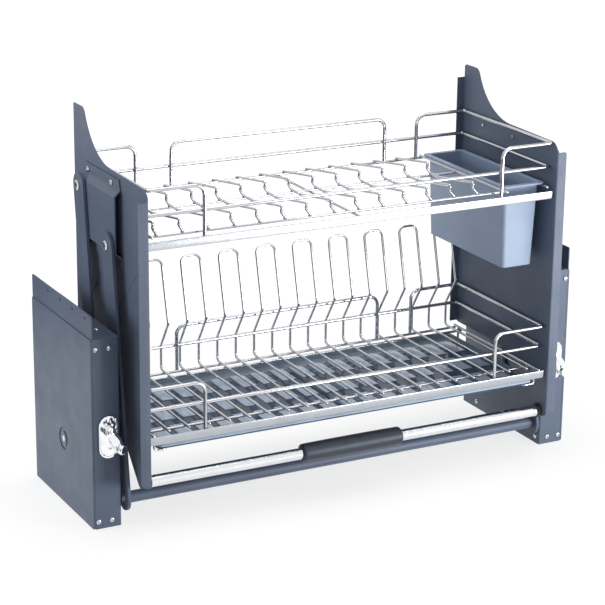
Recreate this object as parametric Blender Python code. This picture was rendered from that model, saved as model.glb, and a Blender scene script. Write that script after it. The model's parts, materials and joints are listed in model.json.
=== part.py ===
"""Swing-down rack for a kitchen wall cabinet: two shelves between two side panels, carried by four arms.

Two steel boxes are screwed to the cabinet's side walls. On each box two parallel arms turn, and the rack
hangs on their upper ends, so that it stays level while it swings forwards and down. +X is the right-hand
side, -Y is the front, +Z is up. The origin lies under the middle of the rack, on the plane that both boxes
stand on. Lengths are in metres. Depths are measured backwards from the front of the boxes, heights from
their undersides.
"""

import math

import bmesh
import bpy
from mathutils import Vector

# Cabinet and mechanism boxes
CABINET_WIDTH = 0.864
BOX_DEPTH = 0.246
BOX_HEIGHT = 0.308
BOX_THICKNESS = 0.0465
BOX_SHEET = 0.0015
BOX_CORNER_RADIUS = 0.003
COVER_SHEET = 0.0012
PLATE_SHEET = 0.0020
FLANGE_RISE = 0.0375
FLANGE_HOLE_DIAMETER = 0.005
FLANGE_HOLE_COUNT = 4
FLANGE_HOLE_PITCH = 0.051
FLANGE_HOLE_HEIGHT = 0.029
COVER_WINDOW_DIAMETER = 0.036

# Clearances: between pieces that touch, round a turning pin, and past an open joint
GAP = 0.0003
RUNNING_GAP = 0.0003
CUT_OVERRUN = 0.002
WELD_SINK = 0.0008

# Arms and pivots
FRONT_PIVOT_DEPTH = 0.010
FRONT_PIVOT_HEIGHT = 0.040
PIVOT_OFFSET_DEPTH = 0.111
PIVOT_OFFSET_HEIGHT = 0.069
ARM_LENGTH = 0.397
ARM_LEAN_BACK = math.radians(7.5)
ARM_WIDTH = 0.040
ARM_SHEET = 0.005
ARM_TO_BOX_GAP = 0.0075
PIVOT_PIN_DIAMETER = 0.010
PIVOT_HEAD_DIAMETER = 0.024
PIVOT_HEAD_HEIGHT = 0.0028
BUSH_WALL = 0.002
BUSH_FLANGE = 0.002
BUSH_FLANGE_HEIGHT = 0.0015
BUSH_OVERHANG = 0.0015
PIN_WINDOW_HEAD_HEIGHT = 0.0009
BOLT_DIAMETER = 0.010
BOLT_HEAD_DIAMETER = 0.016
BOLT_HEAD_HEIGHT = 0.0035
BOLT_NUT_HEIGHT = 0.005
BOLT_NUT_DIAMETER = 0.014
CROSS_TUBE_DIAMETER = 0.019
CROSS_TUBE_WALL = 0.0015
SHAFT_SPIGOT_LENGTH = 0.012

# Lift mechanism inside each box
CRANK_LENGTH = 0.026
CRANK_SHEET = 0.005
CRANK_TO_WALL_GAP = 0.003
CRANK_NUT_HEIGHT = 0.004
CRANK_NUT_DIAMETER = 0.016
CRANK_EYE_RADIUS = 0.0077
CRANK_PIN_EYE_RADIUS = 0.007
CRANK_PIN_DIAMETER = 0.008
SWING_ANGLE = math.radians(100.0)
SPRING_CYLINDER_DIAMETER = 0.018
SPRING_CYLINDER_LENGTH = 0.200
SPRING_NECK = 0.018
SPRING_NECK_DIAMETER = 0.010
SPRING_CYLINDER_WALL = 0.002
SPRING_ROD_DIAMETER = 0.008
SPRING_ROD_SHOWING = 0.085
SPRING_ROD_INSERTED = 0.030
SPRING_EYE_RADIUS = 0.008
SPRING_EYE_THICKNESS = 0.006
SPRING_STUD_DIAMETER = 0.008

# Tension adjuster on the front of each box
ADJUSTER_HEIGHT = 0.150
ADJUSTER_INSET = 0.0265
ADJUSTER_WIDTH = 0.033
ADJUSTER_LENGTH = 0.069
ADJUSTER_THICKNESS = 0.003
ADJUSTER_RIM = 0.003
ADJUSTER_DISH_DEPTH = 0.0015
LEVER_HUB_DIAMETER = 0.018
LEVER_HUB_LENGTH = 0.011
LEVER_HUB_RISE = 0.010
LEVER_REACH = 0.0165
LEVER_ARM_THICKNESS = 0.006
LEVER_SWELL_LENGTH = 0.011
LEVER_EDGE = 0.0012
LEVER_DROP = 0.029
LEVER_SWELL_DIAMETER = 0.017
LEVER_STEM_DIAMETER = 0.008
LEVER_STEM_LENGTH = 0.012

# Side panels
PANEL_INSET = 0.0725
PANEL_SHEET = 0.0015
PANEL_AHEAD = 0.056
PANEL_REAR_DEPTH = 0.234
PANEL_TOP_FRONT = 0.543
PANEL_TOP_RISE = 0.003
PANEL_FIN_HEIGHT = 0.620
PANEL_FIN_CURVE_RADIUS = 0.110
PANEL_FIN_FOOT_DEPTH = 0.1596
PANEL_FIN_TIP_DEPTH = 0.190
PANEL_FIN_TIP_RADIUS = 0.014
PANEL_FRONT_CORNER_RADIUS = 0.020
PANEL_FOOT_CORNER_RADIUS = 0.006
PANEL_BOTTOM = 0.060
PANEL_FRONT_BOTTOM = 0.0765
PANEL_REAR_BOTTOM = 0.158
PANEL_KNEE_DEPTH = 0.083
PANEL_KNEE_RADIUS = 0.012
PANEL_TOE_RADIUS = 0.010
PANEL_BEND_RADIUS = 0.002
PANEL_TOE_END_DEPTH = -0.012
PANEL_REAR_CORNER_RADIUS = 0.006
FRONT_FLANGE_WIDTH = 0.016
FRONT_FLANGE_TOP = 0.527
FRONT_FLANGE_END_RADIUS = 0.011
REAR_FLANGE_WIDTH = 0.014
REAR_FLANGE_TOP = 0.598

# Arm bracket on each panel
BRACKET_SHEET = 0.002
BRACKET_STAND_OFF = 0.0125
BRACKET_FRONT_DEPTH = 0.041
BRACKET_REAR_DEPTH = 0.182
BRACKET_TOP = 0.537
BRACKET_BOTTOM = 0.400
BRACKET_LIP = 0.016
BRACKET_SLOPE = 0.008
BRACKET_CHAMFER = 0.016
BRACKET_SCREW_INSET = 0.010
BRACKET_SCREW_FRONT_INSET = 0.035
BRACKET_SCREW_REAR_INSET = 0.014
SCREW_HEAD_DIAMETER = 0.009
SCREW_HEAD_HEIGHT = 0.0025
SCREW_SHANK_DIAMETER = 0.005
SCREW_END_SHOWING = 0.002

# Handle
HANDLE_DIAMETER = 0.019
HANDLE_WALL = 0.0012
HANDLE_DEPTH = -0.033
HANDLE_HEIGHT = 0.079
HANDLE_SOCKET_DIAMETER = 0.024
HANDLE_SOCKET_LENGTH = 0.006
HANDLE_SPIGOT_LENGTH = 0.012
GRIP_DIAMETER = 0.031
GRIP_LENGTH = 0.181
GRIP_END_ROUND = 0.004

# Shelf rails and wires
RAIL_DIAMETER = 0.006
WIRE_DIAMETER = 0.0044
RAIL_BEND_RADIUS = 0.016
CORNER_BEND_RADIUS = 0.005
FLAT_BAR_HEIGHT = 0.013
FLAT_BAR_THICKNESS = 0.003
FLAT_BAR_AHEAD = 0.049
TOP_RAIL_RISE = 0.091
SECOND_RAIL_RISE = 0.051
FLOOR_LINE_RISE = 0.0155
POST_FOOT_RISE = 0.002
SIDE_ROD_INSET = 0.0095
FRONT_POST_INSET = 0.0927
BACK_POST_INSET = 0.0957
MIDDLE_LOOP_INSET = 0.1577
UPPER_BAR_BOTTOM = 0.450
LOWER_BAR_BOTTOM = 0.142
LOWER_SECOND_RISE = 0.053
LOWER_TOP_RISE = 0.088
LOWER_LINE_RISE = 0.009
LOWER_MIDDLE_INSET = 0.1647
LOWER_BACK_INSET = 0.0977

# Upper shelf floor: bowl wires with a saw-tooth profile
BOWL_WIRE_COUNT = 14
BOWL_WIRE_FIRST_INSET = 0.0135
BOWL_WIRE_LAST_INSET = 0.0477
BOWL_MID_REAR_DEPTH = 0.115
BOWL_MID_FRONT_DEPTH = 0.084
BOWL_FRONT_DEPTH = -0.028
BOWL_TOOTH_RISE = 0.016
BOWL_TOOTH_AHEAD = 0.008
BOWL_TOOTH_TUCK = 0.014
BOWL_TUCK_RISE = 0.006

# Lower shelf floor and plate holders
FLOOR_WIRE_COUNT = 20
FLOOR_WIRE_FIRST_INSET = 0.0315
FLOOR_WIRE_LAST_INSET = 0.0138
PLAIN_WIRE_COUNT = 2
FLOOR_FRONT_DEPTH = -0.030
FLOOR_FIRST_LINE_DEPTH = -0.012
FLOOR_MIDDLE_LINE_DEPTH = 0.201
FLOOR_LAST_LINE_DEPTH = 0.222
HAIRPIN_KNEE_RISE = 0.042
HAIRPIN_LEAN_RISE = 0.089
HAIRPIN_LEAN = 0.031
HAIRPIN_TOP_RISE = 0.192
HAIRPIN_TOP_BACK = 0.026
HAIRPIN_BEND_RADIUS = 0.011
FOOT_BEND_RADIUS = 0.008

# Cutlery box
CUTLERY_HEIGHT = 0.140
CUTLERY_WALL = 0.002
CUTLERY_RIM_WIDTH = 0.007
CUTLERY_RIM_THICKNESS = 0.003
CUTLERY_WIDTH = 0.080
CUTLERY_RIM_CLEARANCE = 0.001
CUTLERY_ROD_UNDER_RIM = 0.001
CUTLERY_DRAIN_WIDTH = 0.006
CUTLERY_DRAIN_LENGTH = 0.045
CUTLERY_SIDE_TAPER = 0.005
CUTLERY_END_TAPER = 0.004
CUTLERY_CORNER_RADIUS = 0.006
CUTLERY_DIVIDER_COUNT = 2
CUTLERY_DIVIDER_DROP = 0.030

# Drip tray and its runners
TRAY_HEIGHT = 0.009
TRAY_WALL = 0.0018
TRAY_FRONT_DEPTH = -0.040
TRAY_REAR_DEPTH = 0.226
TRAY_CORNER_RADIUS = 0.010
TRAY_BAR_CLEARANCE = 0.0015
TRAY_SIDE_CLEARANCE = 0.003
TRAY_PAD_COLUMNS = 18
TRAY_PAD_ROWS = 3
TRAY_PAD_RISE = 0.0015
TRAY_PAD_SHARE = 0.72
RUNNER_DIAMETER = 0.004
RUNNER_INSET = 0.020
RUNNER_FRONT_DEPTH = -0.036
RUNNER_REAR_DEPTH = 0.206
RUNNER_BEND_RADIUS = 0.005

# Facets of round shapes
PIN_SEGMENTS = 16
TUBE_SEGMENTS = 24
RAIL_SEGMENTS = 8
WIRE_SEGMENTS = 6
BEND_STEPS = 3
ARC_STEPS = 5
FIN_STEPS = 10

# Planes that several pieces share
HALF_WIDTH = CABINET_WIDTH / 2
BOX_FRONT = -(BOX_DEPTH + PANEL_AHEAD) / 2 + PANEL_AHEAD
BOX_INNER = HALF_WIDTH - BOX_THICKNESS
PLATE_OUTER = HALF_WIDTH - COVER_SHEET - GAP
PLATE_INNER = PLATE_OUTER - PLATE_SHEET
ARM_OUTER = BOX_INNER - ARM_TO_BOX_GAP
ARM_INNER = ARM_OUTER - ARM_SHEET
PANEL_OUTER = HALF_WIDTH - PANEL_INSET
PANEL_INNER = PANEL_OUTER - PANEL_SHEET
BRACKET_OUTER = PANEL_OUTER + BRACKET_STAND_OFF
PIN_RADIUS = PIVOT_PIN_DIAMETER / 2
BUSH_RADIUS = PIN_RADIUS + RUNNING_GAP + BUSH_WALL
SHAFT_SPIGOT_RADIUS = CROSS_TUBE_DIAMETER / 2 - CROSS_TUBE_WALL - GAP
CRANK_INNER = BOX_INNER + BOX_SHEET + CRANK_TO_WALL_GAP
CRANK_OUTER = CRANK_INNER + CRANK_SHEET
SPRING_X = (BOX_INNER + BOX_SHEET + PLATE_INNER) / 2

RAIL_RADIUS = RAIL_DIAMETER / 2
WIRE_RADIUS = WIRE_DIAMETER / 2
RUNNER_RADIUS = RUNNER_DIAMETER / 2
RAIL_STEP = RAIL_DIAMETER - WELD_SINK
WIRE_STEP = WIRE_DIAMETER - WELD_SINK
MIXED_STEP = RAIL_RADIUS + WIRE_RADIUS - WELD_SINK
BAR_REAR_DEPTH = FLAT_BAR_THICKNESS - FLAT_BAR_AHEAD
SIDE_RAIL_X = PANEL_INNER - GAP - RAIL_RADIUS
SIDE_ROD_X = PANEL_INNER - SIDE_ROD_INSET
FRONT_RAIL_DEPTH = BAR_REAR_DEPTH + GAP + RAIL_RADIUS
SECOND_FRONT_DEPTH = FRONT_RAIL_DEPTH + RAIL_STEP
SECOND_BACK_DEPTH = PANEL_REAR_DEPTH - PANEL_SHEET - GAP - RAIL_RADIUS
BACK_RAIL_DEPTH = SECOND_BACK_DEPTH - RAIL_STEP
BACK_LINE_DEPTH = BACK_RAIL_DEPTH + MIXED_STEP
HAIRPIN_DEPTH = SECOND_BACK_DEPTH + MIXED_STEP
UPPER_LINE_HEIGHT = UPPER_BAR_BOTTOM + FLOOR_LINE_RISE
LOWER_LINE_HEIGHT = LOWER_BAR_BOTTOM + LOWER_LINE_RISE
CUTLERY_RIM_RIGHT = SIDE_RAIL_X - RAIL_RADIUS - CUTLERY_RIM_CLEARANCE
CUTLERY_RIM_LEFT = CUTLERY_RIM_RIGHT - CUTLERY_WIDTH
CUTLERY_RIM_FRONT = SECOND_FRONT_DEPTH + RAIL_RADIUS + CUTLERY_RIM_CLEARANCE
CUTLERY_RIM_REAR = BACK_RAIL_DEPTH - RAIL_RADIUS - CUTLERY_RIM_CLEARANCE
CUTLERY_ROD_TOP = UPPER_LINE_HEIGHT + WIRE_STEP + WIRE_RADIUS
CUTLERY_RIM_BOTTOM = CUTLERY_ROD_TOP + GAP
CUTLERY_TOP = CUTLERY_RIM_BOTTOM + CUTLERY_RIM_THICKNESS
RUNNER_LEG_X = SIDE_ROD_X - WIRE_RADIUS - RUNNER_RADIUS + WELD_SINK
TRAY_TOP = LOWER_BAR_BOTTOM - TRAY_BAR_CLEARANCE
TRAY_BOTTOM = TRAY_TOP - TRAY_HEIGHT
RUNNER_HEIGHT = TRAY_BOTTOM - GAP - RUNNER_RADIUS

# Surfaces: base colour, roughness, metallic
FINISHES = {
    "dark_enamel": ((0.085, 0.100, 0.120), 0.45, 0.15),
    "chrome": ((0.80, 0.81, 0.83), 0.14, 1.0),
    "bright_wire": ((0.72, 0.72, 0.72), 0.20, 1.0),
    "plain_steel": ((0.45, 0.46, 0.48), 0.35, 0.9),
    "bush_plastic": ((0.03, 0.03, 0.03), 0.55, 0.0),
    "grey_blue_plastic": ((0.34, 0.41, 0.52), 0.40, 0.0),
    "clear_tray_plastic": ((0.50, 0.57, 0.64), 0.25, 0.0),
    "foam_rubber": ((0.025, 0.027, 0.030), 0.85, 0.0),
}

SIDES = {"left": -1, "right": 1}
FULL_TURN = 2 * math.pi
QUARTER_TURN = math.pi / 2
SHARP_ANGLE = math.radians(35)


def at(x, depth, height):
    """A point from its distance to the right, its depth behind the boxes' front and its height."""
    return Vector((x, BOX_FRONT + depth, height))


def finish(name):
    """The named surface finish as a material."""
    known = bpy.data.materials.get(name)
    if known:
        return known
    colour, roughness, metallic = FINISHES[name]
    made = bpy.data.materials.new(name)
    made.use_nodes = True
    shader = made.node_tree.nodes["Principled BSDF"]
    shader.inputs["Base Color"].default_value = (*colour, 1)
    shader.inputs["Roughness"].default_value = roughness
    shader.inputs["Metallic"].default_value = metallic
    return made


def solid(name, shape, surface):
    """A named object from a closed shape, with its faces turned outwards."""
    bmesh.ops.recalc_face_normals(shape, faces=shape.faces)
    mesh = bpy.data.meshes.new(name)
    shape.to_mesh(mesh)
    shape.free()
    mesh.materials.append(finish(surface))
    made = bpy.data.objects.new(name, mesh)
    bpy.context.scene.collection.objects.link(made)
    return made


def combine(target, other_shape, operation):
    """Adds, cuts or keeps what a second shape shares with the target."""
    other = solid("working_shape", other_shape, target.data.materials[0].name)
    step = target.modifiers.new("combine", "BOOLEAN")
    step.operation = operation
    step.solver = "EXACT"
    step.object = other
    graph = bpy.context.evaluated_depsgraph_get()
    result = bpy.data.meshes.new_from_object(target.evaluated_get(graph))
    target.modifiers.clear()
    target.data = result
    bpy.data.objects.remove(other)
    return target


def cut(target, shape):
    return combine(target, shape, "DIFFERENCE")


def add(target, shape):
    return combine(target, shape, "UNION")


def keep(target, shape):
    return combine(target, shape, "INTERSECT")


def smooth_round_faces(piece):
    """Rounds the look of turned and bent faces and keeps the true edges sharp."""
    piece.data.shade_smooth()
    piece.data.set_sharp_from_angle(angle=SHARP_ANGLE)


def rounded(corners, steps=ARC_STEPS, closed=True):
    """Points along straight runs between corners, each given as a point and the radius of its bend."""
    count = len(corners)
    points = []
    for index, (corner, radius) in enumerate(corners):
        ends = not closed and index in (0, count - 1)
        if ends or radius == 0:
            points.append(corner)
            continue
        before = (corners[index - 1][0] - corner).normalized()
        after = (corners[(index + 1) % count][0] - corner).normalized()
        half = before.angle(after) / 2
        reach = radius / math.tan(half)
        middle = corner + (before + after).normalized() * (radius / math.sin(half))
        start = corner + before * reach - middle
        swing = math.pi - 2 * half
        outward = start.normalized()
        for step in range(steps + 1):
            turn = swing * step / steps
            points.append(middle + radius * (outward * math.cos(turn) - before * math.sin(turn)))
    return points


def prism(outline, axis, start, end):
    """A plate: an outline drawn across one axis and given a thickness along it."""
    shape = bmesh.new()
    place = {
        "x": lambda u, v, w: at(w, u, v),
        "y": lambda u, v, w: at(u, w, v),
        "z": lambda u, v, w: at(u, v, w),
    }[axis]
    near = [shape.verts.new(place(point.x, point.y, start)) for point in outline]
    far = [shape.verts.new(place(point.x, point.y, end)) for point in outline]
    shape.faces.new(near)
    shape.faces.new(list(reversed(far)))
    count = len(outline)
    for index in range(count):
        following = (index + 1) % count
        shape.faces.new((near[index], far[index], far[following], near[following]))
    return shape


def rectangle(left, right, low, high, radius=0.0):
    """The outline of a rectangle with rounded corners."""
    corners = [(left, low), (right, low), (right, high), (left, high)]
    return rounded([(Vector(corner), radius) for corner in corners])


def link_outline(first, first_radius, second, second_radius, steps=PIN_SEGMENTS // 2):
    """The outline of a bar with a round end about each of two centres."""
    along = second - first
    heading = math.atan2(along.y, along.x)
    lean = math.asin((first_radius - second_radius) / along.length)
    quarter = QUARTER_TURN - lean
    points = []
    for centre, radius, middle, half in (
        (second, second_radius, heading, quarter),
        (first, first_radius, heading + math.pi, math.pi - quarter),
    ):
        for step in range(steps + 1):
            turn = middle - half + 2 * half * step / steps
            points.append(centre + radius * Vector((math.cos(turn), math.sin(turn))))
    return points


def strip_outline(corners, thickness):
    """The outline of a bent sheet, from the corners of its middle line."""
    line = rounded(corners, BEND_STEPS, closed=False)
    edges = ([], [])
    for index, point in enumerate(line):
        back = (point - line[index - 1]).normalized() if index else None
        ahead = (line[index + 1] - point).normalized() if index + 1 < len(line) else None
        first = back or ahead
        second = ahead or back
        normal = Vector((-first.y - second.y, first.x + second.x)).normalized()
        reach = thickness / 2 / normal.dot(Vector((-first.y, first.x)))
        edges[0].append(point + normal * reach)
        edges[1].append(point - normal * reach)
    return edges[0] + list(reversed(edges[1]))


def frame_across(direction):
    """Two unit directions across a given one."""
    reference = Vector((0, 0, 1)) if abs(direction.z) < math.cos(QUARTER_TURN / 2) else Vector((1, 0, 0))
    first = direction.cross(reference).normalized()
    return first, direction.cross(first).normalized()


def turned(profile, base, direction, segments=PIN_SEGMENTS, ring=False):
    """A shape turned about an axis, from pairs of distance along the axis and radius."""
    shape = bmesh.new()
    direction = direction.normalized()
    first, second = frame_across(direction)
    rings = []
    for distance, radius in profile:
        centre = base + direction * distance
        if radius == 0:
            rings.append([shape.verts.new(centre)] * segments)
            continue
        turns = [FULL_TURN * step / segments for step in range(segments)]
        spokes = [first * math.cos(turn) + second * math.sin(turn) for turn in turns]
        rings.append([shape.verts.new(centre + radius * spoke) for spoke in spokes])
    pairs = list(zip(rings, rings[1:]))
    if ring:
        pairs.append((rings[-1], rings[0]))
    for low, high in pairs:
        for index in range(segments):
            following = (index + 1) % segments
            corners = (low[index], low[following], high[following], high[index])
            shape.faces.new(list(dict.fromkeys(corners)))
    if not ring:
        cap_ends(shape, profile, rings)
    return shape


def cap_ends(shape, profile, rings):
    """Closes the flat ends of a turned shape."""
    for (_, radius), ends in ((profile[0], rings[0]), (profile[-1], rings[-1])):
        if radius:
            shape.faces.new(ends)


def rod(start, end, radius, segments=PIN_SEGMENTS):
    """A plain round bar between two points."""
    along = end - start
    return turned([(0, radius), (along.length, radius)], start, along, segments)


def wire(shape, corners, diameter, segments, closed=False):
    """Adds a bent round wire to a shape, from corner points and bend radii."""
    path = rounded(corners, BEND_STEPS, closed)
    count = len(path)
    rings = []
    across = None
    for index, point in enumerate(path):
        back = (point - path[index - 1]).normalized() if index or closed else None
        ahead = (path[(index + 1) % count] - point).normalized() if index + 1 < count or closed else None
        first = back or ahead
        second = ahead or back
        heading = (first + second).normalized()
        if across is None:
            across = frame_across(first)[0]
        across = (across - first * across.dot(first)).normalized()
        third = first.cross(across)
        ring = []
        for step in range(segments):
            turn = FULL_TURN * (step + 1 / 2) / segments
            spoke = (across * math.cos(turn) + third * math.sin(turn)) * diameter / 2
            slide = -spoke.dot(heading) / first.dot(heading)
            ring.append(shape.verts.new(point + spoke + first * slide))
        rings.append(ring)
    pairs = list(zip(rings, rings[1:]))
    if closed:
        pairs.append((rings[-1], matching_ring(rings[-1], rings[0], path)))
    for low, high in pairs:
        for step in range(segments):
            following = (step + 1) % segments
            shape.faces.new((low[step], low[following], high[following], high[step]))
    if not closed:
        shape.faces.new(rings[0])
        shape.faces.new(rings[-1])


def matching_ring(last, first, path):
    """The first ring of a closed wire, started at the point that faces the last ring's start."""
    ahead = (path[0] - path[-1]).normalized()
    offsets = range(len(first))

    def miss(offset):
        along = first[offset].co - last[0].co
        return (along - ahead * along.dot(ahead)).length

    best = min(offsets, key=miss)
    return first[best:] + first[:best]


def rail(shape, corners, closed=False):
    wire(shape, corners, RAIL_DIAMETER, RAIL_SEGMENTS, closed)


def thin_wire(shape, corners):
    wire(shape, corners, WIRE_DIAMETER, WIRE_SEGMENTS)


def straight(start, end):
    return [(start, 0), (end, 0)]


def evenly(first, last, count):
    """Evenly spaced places from the first to the last."""
    return [first + (last - first) * index / (count - 1) for index in range(count)]


def pivot_empty(name, place):
    """An axis marker that carries the pieces which turn or slide together."""
    marker = bpy.data.objects.new(name, None)
    marker.location = place
    bpy.context.scene.collection.objects.link(marker)
    return marker


def carry(marker, pieces):
    """Puts finished pieces on an axis marker without moving them."""
    for piece in pieces:
        piece.parent = marker
        piece.location = -marker.location


def flat(depth, height):
    """A point in the upright plane that runs from front to back."""
    return Vector((depth, height))


FRONT_PIVOT = flat(FRONT_PIVOT_DEPTH, FRONT_PIVOT_HEIGHT)
REAR_PIVOT = FRONT_PIVOT + flat(PIVOT_OFFSET_DEPTH, PIVOT_OFFSET_HEIGHT)
ARM_VECTOR = ARM_LENGTH * flat(math.sin(ARM_LEAN_BACK), math.cos(ARM_LEAN_BACK))
FRONT_BOLT = FRONT_PIVOT + ARM_VECTOR
REAR_BOLT = REAR_PIVOT + ARM_VECTOR
CRANK_PIN_REST = FRONT_PIVOT - flat(0, CRANK_LENGTH)
CRANK_PIN_DOWN = FRONT_PIVOT - CRANK_LENGTH * flat(-math.sin(SWING_ANGLE), math.cos(SWING_ANGLE))
SPRING_LINE = (CRANK_PIN_DOWN - CRANK_PIN_REST).normalized()
SPRING_ANCHOR = CRANK_PIN_REST + SPRING_LINE * (SPRING_ROD_SHOWING + SPRING_CYLINDER_LENGTH + SPRING_NECK)


def across_rod(side, start, end, centre, radius, segments=PIN_SEGMENTS):
    """A round bar or hole along the width, between two distances from the middle."""
    return rod(at(side * start, *centre), at(side * end, *centre), radius, segments)


def outward_profile(side, profile, start, centre, segments=PIN_SEGMENTS, ring=False):
    """A turned shape whose axis runs outwards along the width."""
    return turned(profile, at(side * start, *centre), Vector((side, 0, 0)), segments, ring)


def make_mounting_plate(name, side):
    outline = rectangle(0, BOX_DEPTH, 0, BOX_HEIGHT + FLANGE_RISE, BOX_CORNER_RADIUS)
    plate = solid(name, prism(outline, "x", side * PLATE_INNER, side * PLATE_OUTER), "dark_enamel")
    middle_span = FLANGE_HOLE_PITCH * (FLANGE_HOLE_COUNT - 1)
    for index in range(FLANGE_HOLE_COUNT):
        depth = (BOX_DEPTH - BOX_THICKNESS - middle_span) / 2 + index * FLANGE_HOLE_PITCH
        centre = (depth, BOX_HEIGHT + FLANGE_HOLE_HEIGHT)
        cut(plate, through(side, PLATE_INNER, PLATE_OUTER, centre, FLANGE_HOLE_DIAMETER / 2))
    cut(plate, through(side, PLATE_INNER, PLATE_OUTER, REAR_PIVOT, PIN_RADIUS + RUNNING_GAP))
    stud_start = SPRING_X - SPRING_EYE_THICKNESS / 2
    stud_end = PLATE_INNER + PLATE_SHEET / 2
    return add(plate, across_rod(side, stud_start, stud_end, SPRING_ANCHOR, SPRING_STUD_DIAMETER / 2))


def through(side, start, end, centre, radius, segments=PIN_SEGMENTS):
    """A hole through a plate, run past both of its faces."""
    return across_rod(side, start - CUT_OVERRUN, end + CUT_OVERRUN, centre, radius, segments)


def side_rectangle(side, inner, outer, low, high, inner_radius):
    """The outline of a box seen from above, rounded at the edges that face the rack."""
    corners = [
        (Vector((side * inner, low)), inner_radius),
        (Vector((side * outer, low)), 0),
        (Vector((side * outer, high)), 0),
        (Vector((side * inner, high)), inner_radius),
    ]
    return rounded(corners)


def make_box_housing(name, side):
    outer = side_rectangle(side, BOX_INNER, PLATE_INNER - GAP, 0, BOX_DEPTH, BOX_CORNER_RADIUS)
    housing = solid(name, prism(outer, "z", 0, BOX_HEIGHT), "dark_enamel")
    inner_radius = BOX_CORNER_RADIUS - BOX_SHEET
    inner_wall = BOX_INNER + BOX_SHEET
    open_side = PLATE_INNER + CUT_OVERRUN
    room = side_rectangle(side, inner_wall, open_side, BOX_SHEET, BOX_DEPTH - BOX_SHEET, inner_radius)
    cut(housing, prism(room, "z", BOX_SHEET, BOX_HEIGHT - BOX_SHEET))
    for pivot in (FRONT_PIVOT, REAR_PIVOT):
        cut(housing, through(side, BOX_INNER, BOX_INNER + BOX_SHEET, pivot, BUSH_RADIUS + GAP))
    return cut(housing, lever_hole(side, -CUT_OVERRUN, BOX_SHEET + CUT_OVERRUN))


def make_outer_cover(name, side):
    outline = rectangle(0, BOX_DEPTH, 0, BOX_HEIGHT, BOX_CORNER_RADIUS)
    inner = HALF_WIDTH - COVER_SHEET
    cover = solid(name, prism(outline, "x", side * inner, side * HALF_WIDTH), "dark_enamel")
    window = through(side, inner, HALF_WIDTH, REAR_PIVOT, COVER_WINDOW_DIAMETER / 2, TUBE_SEGMENTS)
    return cut(cover, window)


def lever_hub(side):
    """Where the adjuster's lever turns, as a point on the front of the box."""
    return Vector((side * (HALF_WIDTH - ADJUSTER_INSET), ADJUSTER_HEIGHT + LEVER_HUB_RISE))


def lever_hole(side, start, end):
    """The hole that the lever's stem turns in, between two depths."""
    hub = lever_hub(side)
    return rod(at(hub.x, start, hub.y), at(hub.x, end, hub.y), LEVER_STEM_DIAMETER / 2 + GAP)


def make_adjuster_plate(name, side):
    centre = Vector((side * (HALF_WIDTH - ADJUSTER_INSET), ADJUSTER_HEIGHT))
    half_run = Vector((0, (ADJUSTER_LENGTH - ADJUSTER_WIDTH) / 2))
    radius = ADJUSTER_WIDTH / 2
    rim = link_outline(centre - half_run, radius, centre + half_run, radius)
    front = -GAP - ADJUSTER_THICKNESS
    plate = solid(name, prism(rim, "y", -GAP, front), "chrome")
    dish = link_outline(centre - half_run, radius - ADJUSTER_RIM, centre + half_run, radius - ADJUSTER_RIM)
    cut(plate, prism(dish, "y", front - CUT_OVERRUN, front + ADJUSTER_DISH_DEPTH))
    return cut(plate, lever_hole(side, CUT_OVERRUN, front - CUT_OVERRUN))


def make_adjuster_lever(name, side):
    hub = lever_hub(side)
    foot = -GAP - ADJUSTER_THICKNESS + ADJUSTER_DISH_DEPTH - GAP
    front = foot - LEVER_HUB_LENGTH
    forward = Vector((0, -1, 0))
    profile = [
        (0, LEVER_STEM_DIAMETER / 2),
        (LEVER_STEM_LENGTH, LEVER_STEM_DIAMETER / 2),
        (LEVER_STEM_LENGTH, LEVER_HUB_DIAMETER / 2),
        (LEVER_STEM_LENGTH + LEVER_HUB_LENGTH - LEVER_EDGE, LEVER_HUB_DIAMETER / 2),
        (LEVER_STEM_LENGTH + LEVER_HUB_LENGTH, LEVER_HUB_DIAMETER / 2 - LEVER_EDGE),
    ]
    stem_start = at(hub.x, foot + LEVER_STEM_LENGTH, hub.y)
    lever = solid(name, turned(profile, stem_start, forward), "chrome")
    swell = hub + Vector((LEVER_REACH, -LEVER_DROP))
    swell_radius = LEVER_SWELL_DIAMETER / 2
    arm = link_outline(hub, swell_radius - LEVER_EDGE, swell, swell_radius - LEVER_EDGE)
    add(lever, prism(arm, "y", front + LEVER_EDGE, front + LEVER_EDGE + LEVER_ARM_THICKNESS))
    knob = [
        (0, swell_radius - LEVER_EDGE),
        (LEVER_EDGE, swell_radius),
        (LEVER_SWELL_LENGTH - LEVER_EDGE, swell_radius),
        (LEVER_SWELL_LENGTH, swell_radius - LEVER_EDGE),
    ]
    knob_start = at(swell.x, front + LEVER_ARM_THICKNESS, swell.y)
    return add(lever, turned(knob, knob_start, forward))


def make_pivot_bush(name, side, pivot):
    bore = PIN_RADIUS + RUNNING_GAP
    flange = BUSH_RADIUS + BUSH_FLANGE
    far = BUSH_FLANGE_HEIGHT + GAP + BOX_SHEET + BUSH_OVERHANG
    profile = [
        (0, bore),
        (0, flange),
        (BUSH_FLANGE_HEIGHT, flange),
        (BUSH_FLANGE_HEIGHT, BUSH_RADIUS),
        (far, BUSH_RADIUS),
        (far, bore),
    ]
    start = BOX_INNER - GAP - BUSH_FLANGE_HEIGHT
    return solid(name, outward_profile(side, profile, start, pivot, ring=True), "bush_plastic")


def spring_point(side, distance):
    """A point on the gas spring's line, at a distance from the crank pin at rest."""
    place = CRANK_PIN_REST + SPRING_LINE * distance
    return at(side * SPRING_X, *place)


def spring_eye(side, centre):
    """The round eye at an end of the gas spring."""
    start = SPRING_X - SPRING_EYE_THICKNESS / 2
    end = SPRING_X + SPRING_EYE_THICKNESS / 2
    return across_rod(side, start, end, centre, SPRING_EYE_RADIUS)


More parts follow.
